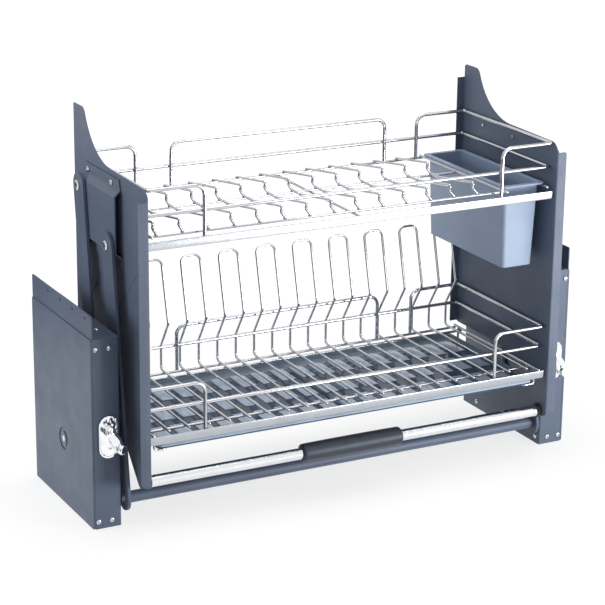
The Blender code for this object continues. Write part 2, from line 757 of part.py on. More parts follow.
def eye_hole(side, centre, radius):
    start = SPRING_X - SPRING_EYE_THICKNESS / 2
    end = SPRING_X + SPRING_EYE_THICKNESS / 2
    return through(side, start, end, centre, radius)


def make_spring_cylinder(name, side):
    outer = SPRING_CYLINDER_DIAMETER / 2
    inner = outer - SPRING_CYLINDER_WALL
    mouth = SPRING_ROD_DIAMETER / 2 + RUNNING_GAP
    neck = SPRING_NECK_DIAMETER / 2
    wall = SPRING_CYLINDER_WALL
    length = SPRING_CYLINDER_LENGTH
    profile = [
        (length + SPRING_NECK - SPRING_EYE_RADIUS, 0),
        (length + SPRING_NECK - SPRING_EYE_RADIUS, neck),
        (length, neck),
        (length - wall, outer),
        (0, outer),
        (0, mouth),
        (wall, mouth),
        (wall, inner),
        (length - 2 * wall, inner),
        (length - 2 * wall, 0),
    ]
    start = spring_point(side, SPRING_ROD_SHOWING)
    along = spring_point(side, 1) - spring_point(side, 0)
    cylinder = solid(name, turned(profile, start, along), "plain_steel")
    neck_rod = rod(
        spring_point(side, SPRING_ROD_SHOWING + length),
        spring_point(side, SPRING_ROD_SHOWING + length + SPRING_NECK - WELD_SINK),
        neck - WELD_SINK,
    )
    eye = solid("eye", spring_eye(side, SPRING_ANCHOR), "plain_steel")
    add(eye, neck_rod)
    merge(cylinder, eye)
    return cut(cylinder, eye_hole(side, SPRING_ANCHOR, SPRING_STUD_DIAMETER / 2 + GAP))


def merge(target, other):
    """Joins a second finished object to the target and removes it."""
    shape = bmesh.new()
    shape.from_mesh(other.data)
    bpy.data.objects.remove(other)
    return add(target, shape)


def make_spring_rod(name, side):
    radius = SPRING_ROD_DIAMETER / 2
    end = SPRING_ROD_SHOWING + SPRING_ROD_INSERTED
    start = SPRING_EYE_RADIUS / 2
    bar = rod(spring_point(side, start), spring_point(side, end), radius, WIRE_SEGMENTS * 2)
    shaft = solid(name, bar, "chrome")
    add(shaft, spring_eye(side, CRANK_PIN_REST))
    return cut(shaft, eye_hole(side, CRANK_PIN_REST, radius))


def make_spring_crank(name, side):
    outline = link_outline(FRONT_PIVOT, CRANK_EYE_RADIUS, CRANK_PIN_REST, CRANK_PIN_EYE_RADIUS)
    crank = solid(name, prism(outline, "x", side * CRANK_INNER, side * CRANK_OUTER), "plain_steel")
    cut(crank, through(side, CRANK_INNER, CRANK_OUTER, FRONT_PIVOT, PIN_RADIUS + GAP))
    pin_end = SPRING_X - SPRING_EYE_THICKNESS / 2 - RUNNING_GAP
    pin = across_rod(side, CRANK_INNER + CRANK_SHEET / 2, pin_end, CRANK_PIN_REST, CRANK_PIN_DIAMETER / 2)
    return add(crank, pin)


def make_arm(name, side, low, high, low_hole):
    radius = ARM_WIDTH / 2
    outline = link_outline(low, radius, high, radius, ARC_STEPS * 2)
    arm = solid(name, prism(outline, "x", side * ARM_INNER, side * ARM_OUTER), "dark_enamel")
    cut(arm, through(side, ARM_INNER, ARM_OUTER, low, low_hole + GAP))
    return cut(arm, through(side, ARM_INNER, ARM_OUTER, high, BOLT_DIAMETER / 2 + RUNNING_GAP))


def make_cross_tube(name):
    outer = CROSS_TUBE_DIAMETER / 2
    bore = outer - CROSS_TUBE_WALL
    half = ARM_INNER - GAP
    profile = [(-half, outer), (half, outer), (half, bore), (-half, bore)]
    return solid(name, outward_profile(1, profile, 0, FRONT_PIVOT, TUBE_SEGMENTS, ring=True), "dark_enamel")


def make_pivot_shaft(name, side):
    start = ARM_INNER - SHAFT_SPIGOT_LENGTH
    nut_start = CRANK_OUTER + GAP
    profile = [
        (0, SHAFT_SPIGOT_RADIUS),
        (ARM_OUTER - start, SHAFT_SPIGOT_RADIUS),
        (ARM_OUTER - start, PIN_RADIUS),
        (nut_start - start, PIN_RADIUS),
        (nut_start - start, CRANK_NUT_DIAMETER / 2),
        (nut_start + CRANK_NUT_HEIGHT - start, CRANK_NUT_DIAMETER / 2),
    ]
    return solid(name, outward_profile(side, profile, start, FRONT_PIVOT), "plain_steel")


def make_rear_pivot_pin(name, side):
    head = PIVOT_HEAD_DIAMETER / 2
    start = ARM_INNER - GAP - PIVOT_HEAD_HEIGHT
    window_head = PLATE_OUTER + GAP
    profile = [
        (0, head - PIVOT_HEAD_HEIGHT),
        (PIVOT_HEAD_HEIGHT / 2, head - PIVOT_HEAD_HEIGHT / 4),
        (PIVOT_HEAD_HEIGHT, head),
        (PIVOT_HEAD_HEIGHT, PIN_RADIUS),
        (window_head - start, PIN_RADIUS),
        (window_head - start, head),
        (window_head + PIN_WINDOW_HEAD_HEIGHT - start, head),
    ]
    return solid(name, outward_profile(side, profile, start, REAR_PIVOT, TUBE_SEGMENTS), "plain_steel")


def make_arm_bolt(name, side, centre):
    radius = BOLT_HEAD_DIAMETER / 2
    nut_face = BRACKET_OUTER - BRACKET_SHEET - GAP
    start = nut_face - BOLT_NUT_HEIGHT
    head_face = ARM_OUTER + GAP
    profile = [
        (0, BOLT_NUT_DIAMETER / 2),
        (BOLT_NUT_HEIGHT, BOLT_NUT_DIAMETER / 2),
        (BOLT_NUT_HEIGHT, BOLT_DIAMETER / 2),
        (head_face - start, BOLT_DIAMETER / 2),
        (head_face - start, radius),
        (head_face + BOLT_HEAD_HEIGHT / 2 - start, radius),
        (head_face + BOLT_HEAD_HEIGHT - start, radius - BOLT_HEAD_HEIGHT / 2),
    ]
    return solid(name, outward_profile(side, profile, start, centre), "chrome")


def panel_outline():
    """The side panel's edge seen from the side, with the concave sweep up to its rear fin."""
    corners = [
        (flat(-PANEL_AHEAD, PANEL_FRONT_BOTTOM), PANEL_FOOT_CORNER_RADIUS),
        (flat(-PANEL_AHEAD, PANEL_TOP_FRONT), PANEL_FRONT_CORNER_RADIUS),
        (flat(PANEL_FIN_FOOT_DEPTH, PANEL_TOP_FRONT + PANEL_TOP_RISE), PANEL_FIN_CURVE_RADIUS),
        (flat(PANEL_FIN_TIP_DEPTH, PANEL_FIN_HEIGHT), PANEL_FIN_TIP_RADIUS),
        (flat(PANEL_REAR_DEPTH, PANEL_FIN_HEIGHT), PANEL_REAR_CORNER_RADIUS),
        (flat(PANEL_REAR_DEPTH, PANEL_REAR_BOTTOM), PANEL_REAR_CORNER_RADIUS),
        (flat(PANEL_KNEE_DEPTH, PANEL_REAR_BOTTOM), PANEL_KNEE_RADIUS),
        (flat(PANEL_TOE_END_DEPTH, PANEL_BOTTOM), PANEL_TOE_RADIUS),
    ]
    return rounded(corners, FIN_STEPS)


def make_side_panel(name, side):
    middle = side * (PANEL_OUTER - PANEL_SHEET / 2)
    front = PANEL_SHEET / 2 - PANEL_AHEAD
    rear = PANEL_REAR_DEPTH - PANEL_SHEET / 2
    section = [
        (Vector((side * (PANEL_OUTER + FRONT_FLANGE_WIDTH), front)), 0),
        (Vector((middle, front)), PANEL_BEND_RADIUS),
        (Vector((middle, rear)), PANEL_BEND_RADIUS),
        (Vector((side * (PANEL_INNER - REAR_FLANGE_WIDTH), rear)), 0),
    ]
    bent = strip_outline(section, PANEL_SHEET)
    upright = prism(bent, "z", PANEL_BOTTOM - CUT_OVERRUN, PANEL_FIN_HEIGHT + CUT_OVERRUN)
    panel = solid(name, upright, "dark_enamel")
    width = FRONT_FLANGE_WIDTH + REAR_FLANGE_WIDTH
    keep(panel, prism(panel_outline(), "x", side * (PANEL_INNER - width), side * (PANEL_OUTER + width)))
    keep(panel, prism(flange_window(side), "y", -PANEL_AHEAD - CUT_OVERRUN, PANEL_REAR_DEPTH + CUT_OVERRUN))
    for centre in bracket_screw_places():
        cut(panel, through(side, PANEL_INNER, PANEL_OUTER, centre, SCREW_SHANK_DIAMETER / 2 + GAP))
    return panel


def flange_window(side):
    """What is kept of the panel seen from the front, with rounded ends on its outer flange."""
    outer = side * (PANEL_OUTER + FRONT_FLANGE_WIDTH)
    inner = side * (PANEL_INNER - REAR_FLANGE_WIDTH - CUT_OVERRUN)
    panel_line = side * PANEL_INNER
    top = PANEL_FIN_HEIGHT + CUT_OVERRUN
    bottom = PANEL_BOTTOM - CUT_OVERRUN
    corners = [
        (Vector((outer, PANEL_FRONT_BOTTOM)), FRONT_FLANGE_END_RADIUS),
        (Vector((outer, FRONT_FLANGE_TOP)), BOX_CORNER_RADIUS),
        (Vector((side * (PANEL_OUTER + PANEL_SHEET), FRONT_FLANGE_TOP)), 0),
        (Vector((side * (PANEL_OUTER + PANEL_SHEET), top)), 0),
        (Vector((panel_line, top)), 0),
        (Vector((panel_line, REAR_FLANGE_TOP)), 0),
        (Vector((inner, REAR_FLANGE_TOP)), 0),
        (Vector((inner, bottom)), 0),
        (Vector((side * (PANEL_OUTER + PANEL_SHEET), bottom)), 0),
        (Vector((side * (PANEL_OUTER + PANEL_SHEET), PANEL_FRONT_BOTTOM)), 0),
    ]
    return rounded(corners)


def bracket_screw_places():
    """The four screw centres of an arm bracket."""
    front = BRACKET_FRONT_DEPTH + BRACKET_SCREW_FRONT_INSET
    depths = (front, BRACKET_REAR_DEPTH - BRACKET_SCREW_REAR_INSET)
    heights = (BRACKET_BOTTOM + BRACKET_SCREW_INSET, BRACKET_TOP - BRACKET_SCREW_INSET)
    return [flat(depth, height) for height in heights for depth in depths]


def make_arm_bracket(name, side):
    low = side * (PANEL_OUTER + GAP + BRACKET_SHEET / 2)
    high = side * (BRACKET_OUTER - BRACKET_SHEET / 2)
    rise = BRACKET_LIP + BRACKET_SLOPE
    section = [
        (Vector((low, BRACKET_BOTTOM)), 0),
        (Vector((low, BRACKET_BOTTOM + BRACKET_LIP)), BRACKET_SHEET),
        (Vector((high, BRACKET_BOTTOM + rise)), BRACKET_SHEET),
        (Vector((high, BRACKET_TOP - rise)), BRACKET_SHEET),
        (Vector((low, BRACKET_TOP - BRACKET_LIP)), BRACKET_SHEET),
        (Vector((low, BRACKET_TOP)), 0),
    ]
    outline = strip_outline(section, BRACKET_SHEET)
    bracket = solid(name, prism(outline, "y", BRACKET_FRONT_DEPTH, BRACKET_REAR_DEPTH), "dark_enamel")
    chamfer = [
        flat(BRACKET_FRONT_DEPTH, BRACKET_BOTTOM - CUT_OVERRUN),
        flat(BRACKET_FRONT_DEPTH, BRACKET_TOP - rise),
        flat(BRACKET_FRONT_DEPTH + rise - BRACKET_CHAMFER, BRACKET_TOP + CUT_OVERRUN),
        flat(BRACKET_REAR_DEPTH, BRACKET_TOP + CUT_OVERRUN),
        flat(BRACKET_REAR_DEPTH, BRACKET_BOTTOM - CUT_OVERRUN),
    ]
    keep(bracket, prism(chamfer, "x", side * PANEL_INNER, side * ARM_OUTER))
    screw_hole = SCREW_SHANK_DIAMETER / 2 + GAP
    for centre in bracket_screw_places():
        cut(bracket, through(side, PANEL_OUTER, PANEL_OUTER + BRACKET_SHEET, centre, screw_hole))
    bolt_hole = BOLT_DIAMETER / 2 + GAP
    for centre in (FRONT_BOLT, REAR_BOLT):
        cut(bracket, through(side, BRACKET_OUTER - BRACKET_SHEET, BRACKET_OUTER, centre, bolt_hole))
    return bracket


def make_bracket_screw(name, side, centre):
    start = PANEL_INNER - SCREW_END_SHOWING
    face = PANEL_OUTER + 2 * GAP + BRACKET_SHEET
    radius = SCREW_HEAD_DIAMETER / 2
    profile = [
        (0, SCREW_SHANK_DIAMETER / 2),
        (face - start, SCREW_SHANK_DIAMETER / 2),
        (face - start, radius),
        (face + SCREW_HEAD_HEIGHT / 2 - start, radius),
        (face + SCREW_HEAD_HEIGHT - start, radius - SCREW_HEAD_HEIGHT / 2),
    ]
    return solid(name, outward_profile(side, profile, start, centre, RAIL_SEGMENTS), "chrome")


def make_flat_bar(name, bottom):
    half = PANEL_INNER - GAP
    top = bottom + FLAT_BAR_HEIGHT
    outline = rectangle(-FLAT_BAR_AHEAD, BAR_REAR_DEPTH, bottom, top, FLAT_BAR_THICKNESS / 3)
    return solid(name, prism(outline, "x", -half, half), "bright_wire")


def rail_loop(shape, height):
    """The second rail, a closed loop round the shelf."""
    corners = [
        (-SIDE_RAIL_X, SECOND_FRONT_DEPTH),
        (SIDE_RAIL_X, SECOND_FRONT_DEPTH),
        (SIDE_RAIL_X, SECOND_BACK_DEPTH),
        (-SIDE_RAIL_X, SECOND_BACK_DEPTH),
    ]
    rail(shape, [(at(x, depth, height), CORNER_BEND_RADIUS) for x, depth in corners], closed=True)


def top_rails(shape, bar_bottom, top_rise, post_foot, middle_inset, back_inset):
    """The top rails: one loop behind and one round each end of the shelf, down to their posts' feet."""
    top = bar_bottom + top_rise
    middle_x = SIDE_RAIL_X - middle_inset
    back_x = SIDE_RAIL_X - back_inset
    front_x = SIDE_RAIL_X - FRONT_POST_INSET
    middle = [
        (at(-middle_x, BACK_RAIL_DEPTH, post_foot), 0),
        (at(-middle_x, BACK_RAIL_DEPTH, top), RAIL_BEND_RADIUS),
        (at(middle_x, BACK_RAIL_DEPTH, top), RAIL_BEND_RADIUS),
        (at(middle_x, BACK_RAIL_DEPTH, post_foot), 0),
    ]
    rail(shape, middle)
    for side in SIDES.values():
        corners = [
            (at(side * back_x, BACK_RAIL_DEPTH, post_foot), 0),
            (at(side * back_x, BACK_RAIL_DEPTH, top), RAIL_BEND_RADIUS),
            (at(side * SIDE_RAIL_X, BACK_RAIL_DEPTH, top), CORNER_BEND_RADIUS),
            (at(side * SIDE_RAIL_X, FRONT_RAIL_DEPTH, top), CORNER_BEND_RADIUS),
            (at(side * front_x, FRONT_RAIL_DEPTH, top), RAIL_BEND_RADIUS),
            (at(side * front_x, FRONT_RAIL_DEPTH, bar_bottom + POST_FOOT_RISE), 0),
        ]
        rail(shape, corners)


def bowl_profile():
    """A bowl wire seen from the side: depth and rise of its corners, from back to front."""
    points = [(BACK_LINE_DEPTH + WIRE_RADIUS, 0)]
    for rest in (BOWL_MID_REAR_DEPTH, BOWL_FRONT_DEPTH):
        points.append((rest + BOWL_TOOTH_AHEAD, BOWL_TOOTH_RISE))
        points.append((rest + BOWL_TOOTH_TUCK, BOWL_TUCK_RISE))
        points.append((rest, 0))
        if rest == BOWL_MID_REAR_DEPTH:
            points.append((BOWL_MID_FRONT_DEPTH, 0))
    last_depth, last_rise = points.pop()
    points.append((last_depth - WIRE_RADIUS, last_rise))
    return points


def make_upper_shelf(name):
    border_x = CUTLERY_RIM_LEFT + CUTLERY_ROD_UNDER_RIM
    lines = bmesh.new()
    rail_loop(lines, UPPER_BAR_BOTTOM + SECOND_RAIL_RISE)
    left_end = at(-SIDE_ROD_X, BACK_LINE_DEPTH, UPPER_LINE_HEIGHT)
    thin_wire(lines, straight(left_end, at(SIDE_ROD_X, BACK_LINE_DEPTH, UPPER_LINE_HEIGHT)))
    for depth in (BOWL_MID_REAR_DEPTH, BOWL_MID_FRONT_DEPTH, BOWL_FRONT_DEPTH):
        start = at(-SIDE_ROD_X, depth, UPPER_LINE_HEIGHT)
        thin_wire(lines, straight(start, at(border_x, depth, UPPER_LINE_HEIGHT)))
    shelf = solid(name, lines, "bright_wire")

    across = bmesh.new()
    wire_height = UPPER_LINE_HEIGHT + WIRE_STEP
    first = BOWL_WIRE_FIRST_INSET - SIDE_ROD_X
    for x in evenly(first, border_x - BOWL_WIRE_LAST_INSET, BOWL_WIRE_COUNT):
        thin_wire(across, [(at(x, depth, wire_height + rise), 0) for depth, rise in bowl_profile()])
    for x in (-SIDE_ROD_X, border_x, SIDE_ROD_X):
        start = at(x, BACK_LINE_DEPTH + WIRE_RADIUS, wire_height)
        thin_wire(across, straight(start, at(x, BAR_REAR_DEPTH + GAP, wire_height)))
    brace_height = UPPER_LINE_HEIGHT - WIRE_STEP
    start = at(0, BACK_LINE_DEPTH + WIRE_RADIUS, brace_height)
    thin_wire(across, straight(start, at(0, BAR_REAR_DEPTH + GAP, brace_height)))
    add(shelf, across)

    rails = bmesh.new()
    foot = UPPER_LINE_HEIGHT
    top_rails(rails, UPPER_BAR_BOTTOM, TOP_RAIL_RISE, foot, MIDDLE_LOOP_INSET, BACK_POST_INSET)
    return add(shelf, rails)


def hairpin(shape, left, right):
    """Two floor wires that are one piece, bent up behind the shelf to hold plates on edge."""
    floor = LOWER_LINE_HEIGHT + WIRE_STEP
    rises = [
        (HAIRPIN_DEPTH, floor, FOOT_BEND_RADIUS),
        (HAIRPIN_DEPTH, floor + HAIRPIN_KNEE_RISE, FOOT_BEND_RADIUS),
        (HAIRPIN_DEPTH - HAIRPIN_LEAN, floor + HAIRPIN_LEAN_RISE, FOOT_BEND_RADIUS),
        (HAIRPIN_DEPTH - HAIRPIN_LEAN + HAIRPIN_TOP_BACK, floor + HAIRPIN_TOP_RISE, HAIRPIN_BEND_RADIUS),
    ]
    corners = [(at(left, FLOOR_FRONT_DEPTH, floor), 0)]
    corners += [(at(left, depth, height), radius) for depth, height, radius in rises]
    corners += [(at(right, depth, height), radius) for depth, height, radius in reversed(rises)]
    corners.append((at(right, FLOOR_FRONT_DEPTH, floor), 0))
    thin_wire(shape, corners)


def tray_runner(shape, side):
    """A hanging wire runner for the drip tray, bent down and in from the shelf's side wire."""
    inner = RUNNER_LEG_X - RUNNER_INSET
    top = LOWER_LINE_HEIGHT + WIRE_STEP
    corners = [
        (at(side * RUNNER_LEG_X, RUNNER_FRONT_DEPTH, top), 0),
        (at(side * RUNNER_LEG_X, RUNNER_FRONT_DEPTH, RUNNER_HEIGHT), RUNNER_BEND_RADIUS),
        (at(side * inner, RUNNER_FRONT_DEPTH, RUNNER_HEIGHT), RUNNER_BEND_RADIUS),
        (at(side * inner, RUNNER_REAR_DEPTH, RUNNER_HEIGHT), RUNNER_BEND_RADIUS),
        (at(side * RUNNER_LEG_X, RUNNER_REAR_DEPTH, RUNNER_HEIGHT), RUNNER_BEND_RADIUS),
        (at(side * RUNNER_LEG_X, RUNNER_REAR_DEPTH, top), 0),
    ]
    wire(shape, corners, RUNNER_DIAMETER, WIRE_SEGMENTS)


def make_lower_shelf(name):
    lines = bmesh.new()
    rail_loop(lines, LOWER_BAR_BOTTOM + LOWER_SECOND_RISE)
    for depth in (FLOOR_FIRST_LINE_DEPTH, FLOOR_MIDDLE_LINE_DEPTH, FLOOR_LAST_LINE_DEPTH):
        start = at(-SIDE_ROD_X, depth, LOWER_LINE_HEIGHT)
        thin_wire(lines, straight(start, at(SIDE_ROD_X, depth, LOWER_LINE_HEIGHT)))
    shelf = solid(name, lines, "bright_wire")

    across = bmesh.new()
    wire_height = LOWER_LINE_HEIGHT + WIRE_STEP
    last = SIDE_ROD_X - FLOOR_WIRE_LAST_INSET
    places = evenly(FLOOR_WIRE_FIRST_INSET - SIDE_ROD_X, last, FLOOR_WIRE_COUNT)
    for x in places[:PLAIN_WIRE_COUNT]:
        start = at(x, FLOOR_FRONT_DEPTH, wire_height)
        thin_wire(across, straight(start, at(x, FLOOR_LAST_LINE_DEPTH + WIRE_RADIUS, wire_height)))
    for index in range(PLAIN_WIRE_COUNT, FLOOR_WIRE_COUNT, 2):
        hairpin(across, places[index], places[index + 1])
    brace_height = LOWER_LINE_HEIGHT - WIRE_STEP
    start = at(0, FLOOR_LAST_LINE_DEPTH + WIRE_RADIUS, brace_height)
    thin_wire(across, straight(start, at(0, BAR_REAR_DEPTH + GAP, brace_height)))
    for side in SIDES.values():
        x = side * SIDE_ROD_X
        start = at(x, FLOOR_LAST_LINE_DEPTH + WIRE_RADIUS, wire_height)
        thin_wire(across, straight(start, at(x, BAR_REAR_DEPTH + GAP, wire_height)))
    add(shelf, across)

    rails = bmesh.new()
    foot = LOWER_LINE_HEIGHT
    top_rails(rails, LOWER_BAR_BOTTOM, LOWER_TOP_RISE, foot, LOWER_MIDDLE_INSET, LOWER_BACK_INSET)
    for side in SIDES.values():
        tray_runner(rails, side)
    return add(shelf, rails)


def tapered_block(sides, ends, levels, tapers, radius):
    """A block with rounded corners that narrows towards its foot, at the sides and at the ends."""
    shape = bmesh.new()
    rings = []
    for height, share in zip(levels, (1, 0)):
        side_in, end_in = tapers[0] * share, tapers[1] * share
        left, right = sides[0] + side_in, sides[1] - side_in
        outline = rectangle(left, right, ends[0] + end_in, ends[1] - end_in, radius)
        rings.append([shape.verts.new(at(point.x, point.y, height)) for point in outline])
    low, high = rings
    shape.faces.new(low)
    shape.faces.new(high)
    count = len(low)
    for index in range(count):
        following = (index + 1) % count
        shape.faces.new((low[index], low[following], high[following], high[index]))
    return shape


def make_cutlery_box(name):
    left = CUTLERY_RIM_LEFT + CUTLERY_RIM_WIDTH
    right = CUTLERY_RIM_RIGHT - CUTLERY_RIM_WIDTH
    front = CUTLERY_RIM_FRONT + CUTLERY_RIM_WIDTH
    rear = CUTLERY_RIM_REAR - CUTLERY_RIM_WIDTH
    bottom = CUTLERY_TOP - CUTLERY_HEIGHT
    radius = CUTLERY_CORNER_RADIUS
    tapers = (CUTLERY_SIDE_TAPER, CUTLERY_END_TAPER)
    body = tapered_block((left, right), (front, rear), (bottom, CUTLERY_TOP), tapers, radius)
    box = solid(name, body, "grey_blue_plastic")
    rim = rectangle(CUTLERY_RIM_LEFT, CUTLERY_RIM_RIGHT, CUTLERY_RIM_FRONT, CUTLERY_RIM_REAR, radius)
    add(box, prism(rim, "z", CUTLERY_RIM_BOTTOM, CUTLERY_TOP))
    wall = CUTLERY_WALL
    room_floor = bottom + wall
    overrun_share = CUT_OVERRUN / CUTLERY_HEIGHT
    side_grow = CUTLERY_SIDE_TAPER * overrun_share
    end_grow = CUTLERY_END_TAPER * overrun_share
    room = tapered_block(
        (left + wall - side_grow, right - wall + side_grow),
        (front + wall - end_grow, rear - wall + end_grow),
        (room_floor, CUTLERY_TOP + CUT_OVERRUN),
        (CUTLERY_SIDE_TAPER + side_grow, CUTLERY_END_TAPER + end_grow),
        radius - wall,
    )
    cut(box, room)
    compartments = CUTLERY_DIVIDER_COUNT + 1
    pitch = (rear - front) / compartments
    divider_top = CUTLERY_TOP - CUTLERY_DIVIDER_DROP
    low_left = left + CUTLERY_SIDE_TAPER
    low_right = right - CUTLERY_SIDE_TAPER
    drop_share = CUTLERY_DIVIDER_DROP / CUTLERY_HEIGHT
    high_left = left + CUTLERY_SIDE_TAPER * drop_share
    high_right = right - CUTLERY_SIDE_TAPER * drop_share
    for index in range(CUTLERY_DIVIDER_COUNT):
        middle = front + (index + 1) * pitch
        outline = [
            Vector((low_left + wall / 2, bottom + wall / 2)),
            Vector((low_right - wall / 2, bottom + wall / 2)),
            Vector((high_right - wall / 2, divider_top)),
            Vector((high_left + wall / 2, divider_top)),
        ]
        add(box, prism(outline, "y", middle - wall / 2, middle + wall / 2))
    for index in range(compartments):
        middle = front + (index + 1 / 2) * pitch
        half = CUTLERY_DRAIN_LENGTH / 2
        for share in (1 / 3, 2 / 3):
            x = low_left + (low_right - low_left) * share
            half_width = CUTLERY_DRAIN_WIDTH / 2
            slot = rectangle(x - half_width, x + half_width, middle - half, middle + half)
            cut(box, prism(slot, "z", bottom - CUT_OVERRUN, room_floor + CUT_OVERRUN))
    return box


def make_drip_tray(name):
    half = RUNNER_LEG_X - RUNNER_RADIUS - TRAY_SIDE_CLEARANCE
    radius = TRAY_CORNER_RADIUS
    wall = TRAY_WALL
    outline = rectangle(-half, half, TRAY_FRONT_DEPTH, TRAY_REAR_DEPTH, radius)
    tray = solid(name, prism(outline, "z", TRAY_BOTTOM, TRAY_TOP), "clear_tray_plastic")
    front, rear = TRAY_FRONT_DEPTH + wall, TRAY_REAR_DEPTH - wall
    room = rectangle(wall - half, half - wall, front, rear, radius - wall)
    cut(tray, prism(room, "z", TRAY_BOTTOM + wall, TRAY_TOP + CUT_OVERRUN))
    column = 2 * (half - radius) / TRAY_PAD_COLUMNS
    row = (TRAY_REAR_DEPTH - TRAY_FRONT_DEPTH - 2 * radius) / TRAY_PAD_ROWS
    pads = bmesh.new()
    for column_index in range(TRAY_PAD_COLUMNS):
        for row_index in range(TRAY_PAD_ROWS):
            x = radius - half + (column_index + 1 / 2) * column
            depth = TRAY_FRONT_DEPTH + radius + (row_index + 1 / 2) * row
            tray_pad(pads, x, depth, column * TRAY_PAD_SHARE / 2, row * TRAY_PAD_SHARE / 2)
    return add(tray, pads)


def tray_pad(shape, x, depth, half_width, half_depth):
    """A raised pad on the tray's floor, narrower at its top."""
    floor = TRAY_BOTTOM + TRAY_WALL / 2
    top = TRAY_BOTTOM + TRAY_WALL + TRAY_PAD_RISE
    levels = []
    for height, inset in ((floor, 0), (top, TRAY_PAD_RISE)):
        wide, deep = half_width - inset, half_depth - inset
        corners = rectangle(x - wide, x + wide, depth - deep, depth + deep)
        levels.append([shape.verts.new(at(point.x, point.y, height)) for point in corners])
    low, high = levels
    shape.faces.new(low)
    shape.faces.new(high)
    count = len(low)
    for index in range(count):
        following = (index + 1) % count
        shape.faces.new((low[index], low[following], high[following], high[index]))


HANDLE_LINE = flat(HANDLE_DEPTH, HANDLE_HEIGHT)
HANDLE_HALF = PANEL_INNER - GAP - HANDLE_SOCKET_LENGTH - GAP


def make_handle_tube(name):
    outer = HANDLE_DIAMETER / 2
    inner = outer - HANDLE_WALL
    profile = [(-HANDLE_HALF, outer), (HANDLE_HALF, outer), (HANDLE_HALF, inner), (-HANDLE_HALF, inner)]
    return solid(name, outward_profile(1, profile, 0, HANDLE_LINE, TUBE_SEGMENTS, ring=True), "chrome")


def make_handle_socket(name, side):
    spigot = HANDLE_DIAMETER / 2 - HANDLE_WALL - GAP
    start = HANDLE_HALF - HANDLE_SPIGOT_LENGTH
    face = HANDLE_HALF + GAP
    end = PANEL_INNER - GAP
    radius = HANDLE_SOCKET_DIAMETER / 2
    edge = HANDLE_SOCKET_LENGTH / 3
    profile = [
        (0, spigot),
        (face - start, spigot),
        (face - start, radius - edge),
        (face + edge - start, radius),
        (end - start, radius),
    ]
    return solid(name, outward_profile(side, profile, start, HANDLE_LINE, TUBE_SEGMENTS), "bush_plastic")


def make_foam_grip(name):
    half = GRIP_LENGTH / 2
    bore = HANDLE_DIAMETER / 2 + GAP
    outer = GRIP_DIAMETER / 2
    edge = GRIP_END_ROUND
    profile = [
        (-half, bore),
        (-half, outer - edge),
        (edge / 3 - half, outer - edge / 3),
        (edge - half, outer),
        (half - edge, outer),
        (half - edge / 3, outer - edge / 3),
        (half, outer - edge),
        (half, bore),
    ]
    return solid(name, outward_profile(1, profile, 0, HANDLE_LINE, TUBE_SEGMENTS, ring=True), "foam_rubber")


def make_fixed_side(label, side):
    """The box on one cabinet wall, with what stays still in and on it."""
    return [
        make_mounting_plate(f"{label}_mounting_plate", side),
        make_box_housing(f"{label}_box_housing", side),
        make_outer_cover(f"{label}_outer_cover", side),
        make_adjuster_plate(f"{label}_adjuster_plate", side),
        make_pivot_bush(f"{label}_front_pivot_bush", side, FRONT_PIVOT),
        make_pivot_bush(f"{label}_rear_pivot_bush", side, REAR_PIVOT),
        make_spring_cylinder(f"{label}_gas_spring_cylinder", side),
    ]


def make_front_arms():
    """Both front arms and the tube that makes them swing together."""
    pieces = [make_cross_tube("cross_tube")]
    for label, side in SIDES.items():
        pieces.append(make_arm(f"{label}_front_arm", side, FRONT_PIVOT, FRONT_BOLT, SHAFT_SPIGOT_RADIUS))
        pieces.append(make_pivot_shaft(f"{label}_front_pivot_shaft", side))
        pieces.append(make_spring_crank(f"{label}_spring_crank", side))
    return pieces


def make_rear_arm(label, side):
    return [
        make_arm(f"{label}_rear_arm", side, REAR_PIVOT, REAR_BOLT, PIN_RADIUS),
        make_rear_pivot_pin(f"{label}_rear_pivot_pin", side),
    ]


def make_basket_side(label, side):
    """A side panel with its arm bracket, their fasteners and the handle's socket."""
    pieces = [
        make_side_panel(f"{label}_side_panel", side),
        make_arm_bracket(f"{label}_arm_bracket", side),
        make_arm_bolt(f"{label}_front_arm_bolt", side, FRONT_BOLT),
        make_arm_bolt(f"{label}_rear_arm_bolt", side, REAR_BOLT),
        make_handle_socket(f"{label}_handle_socket", side),
    ]
    for index, centre in enumerate(bracket_screw_places()):
        pieces.append(make_bracket_screw(f"{label}_bracket_screw_{index + 1}", side, centre))
    return pieces


def make_basket():
    """Everything that swings down level: side panels, shelves and handle."""
    pieces = [
        make_upper_shelf("upper_shelf_frame"),
        make_flat_bar("upper_front_rail", UPPER_BAR_BOTTOM),
        make_lower_shelf("lower_shelf_frame"),
        make_flat_bar("lower_front_rail", LOWER_BAR_BOTTOM),
        make_handle_tube("handle_tube"),
        make_foam_grip("foam_grip"),
    ]
    for label, side in SIDES.items():
        pieces += make_basket_side(label, side)
    return pieces


def clear_scene():
    for existing in list(bpy.data.objects):
        bpy.data.objects.remove(existing)


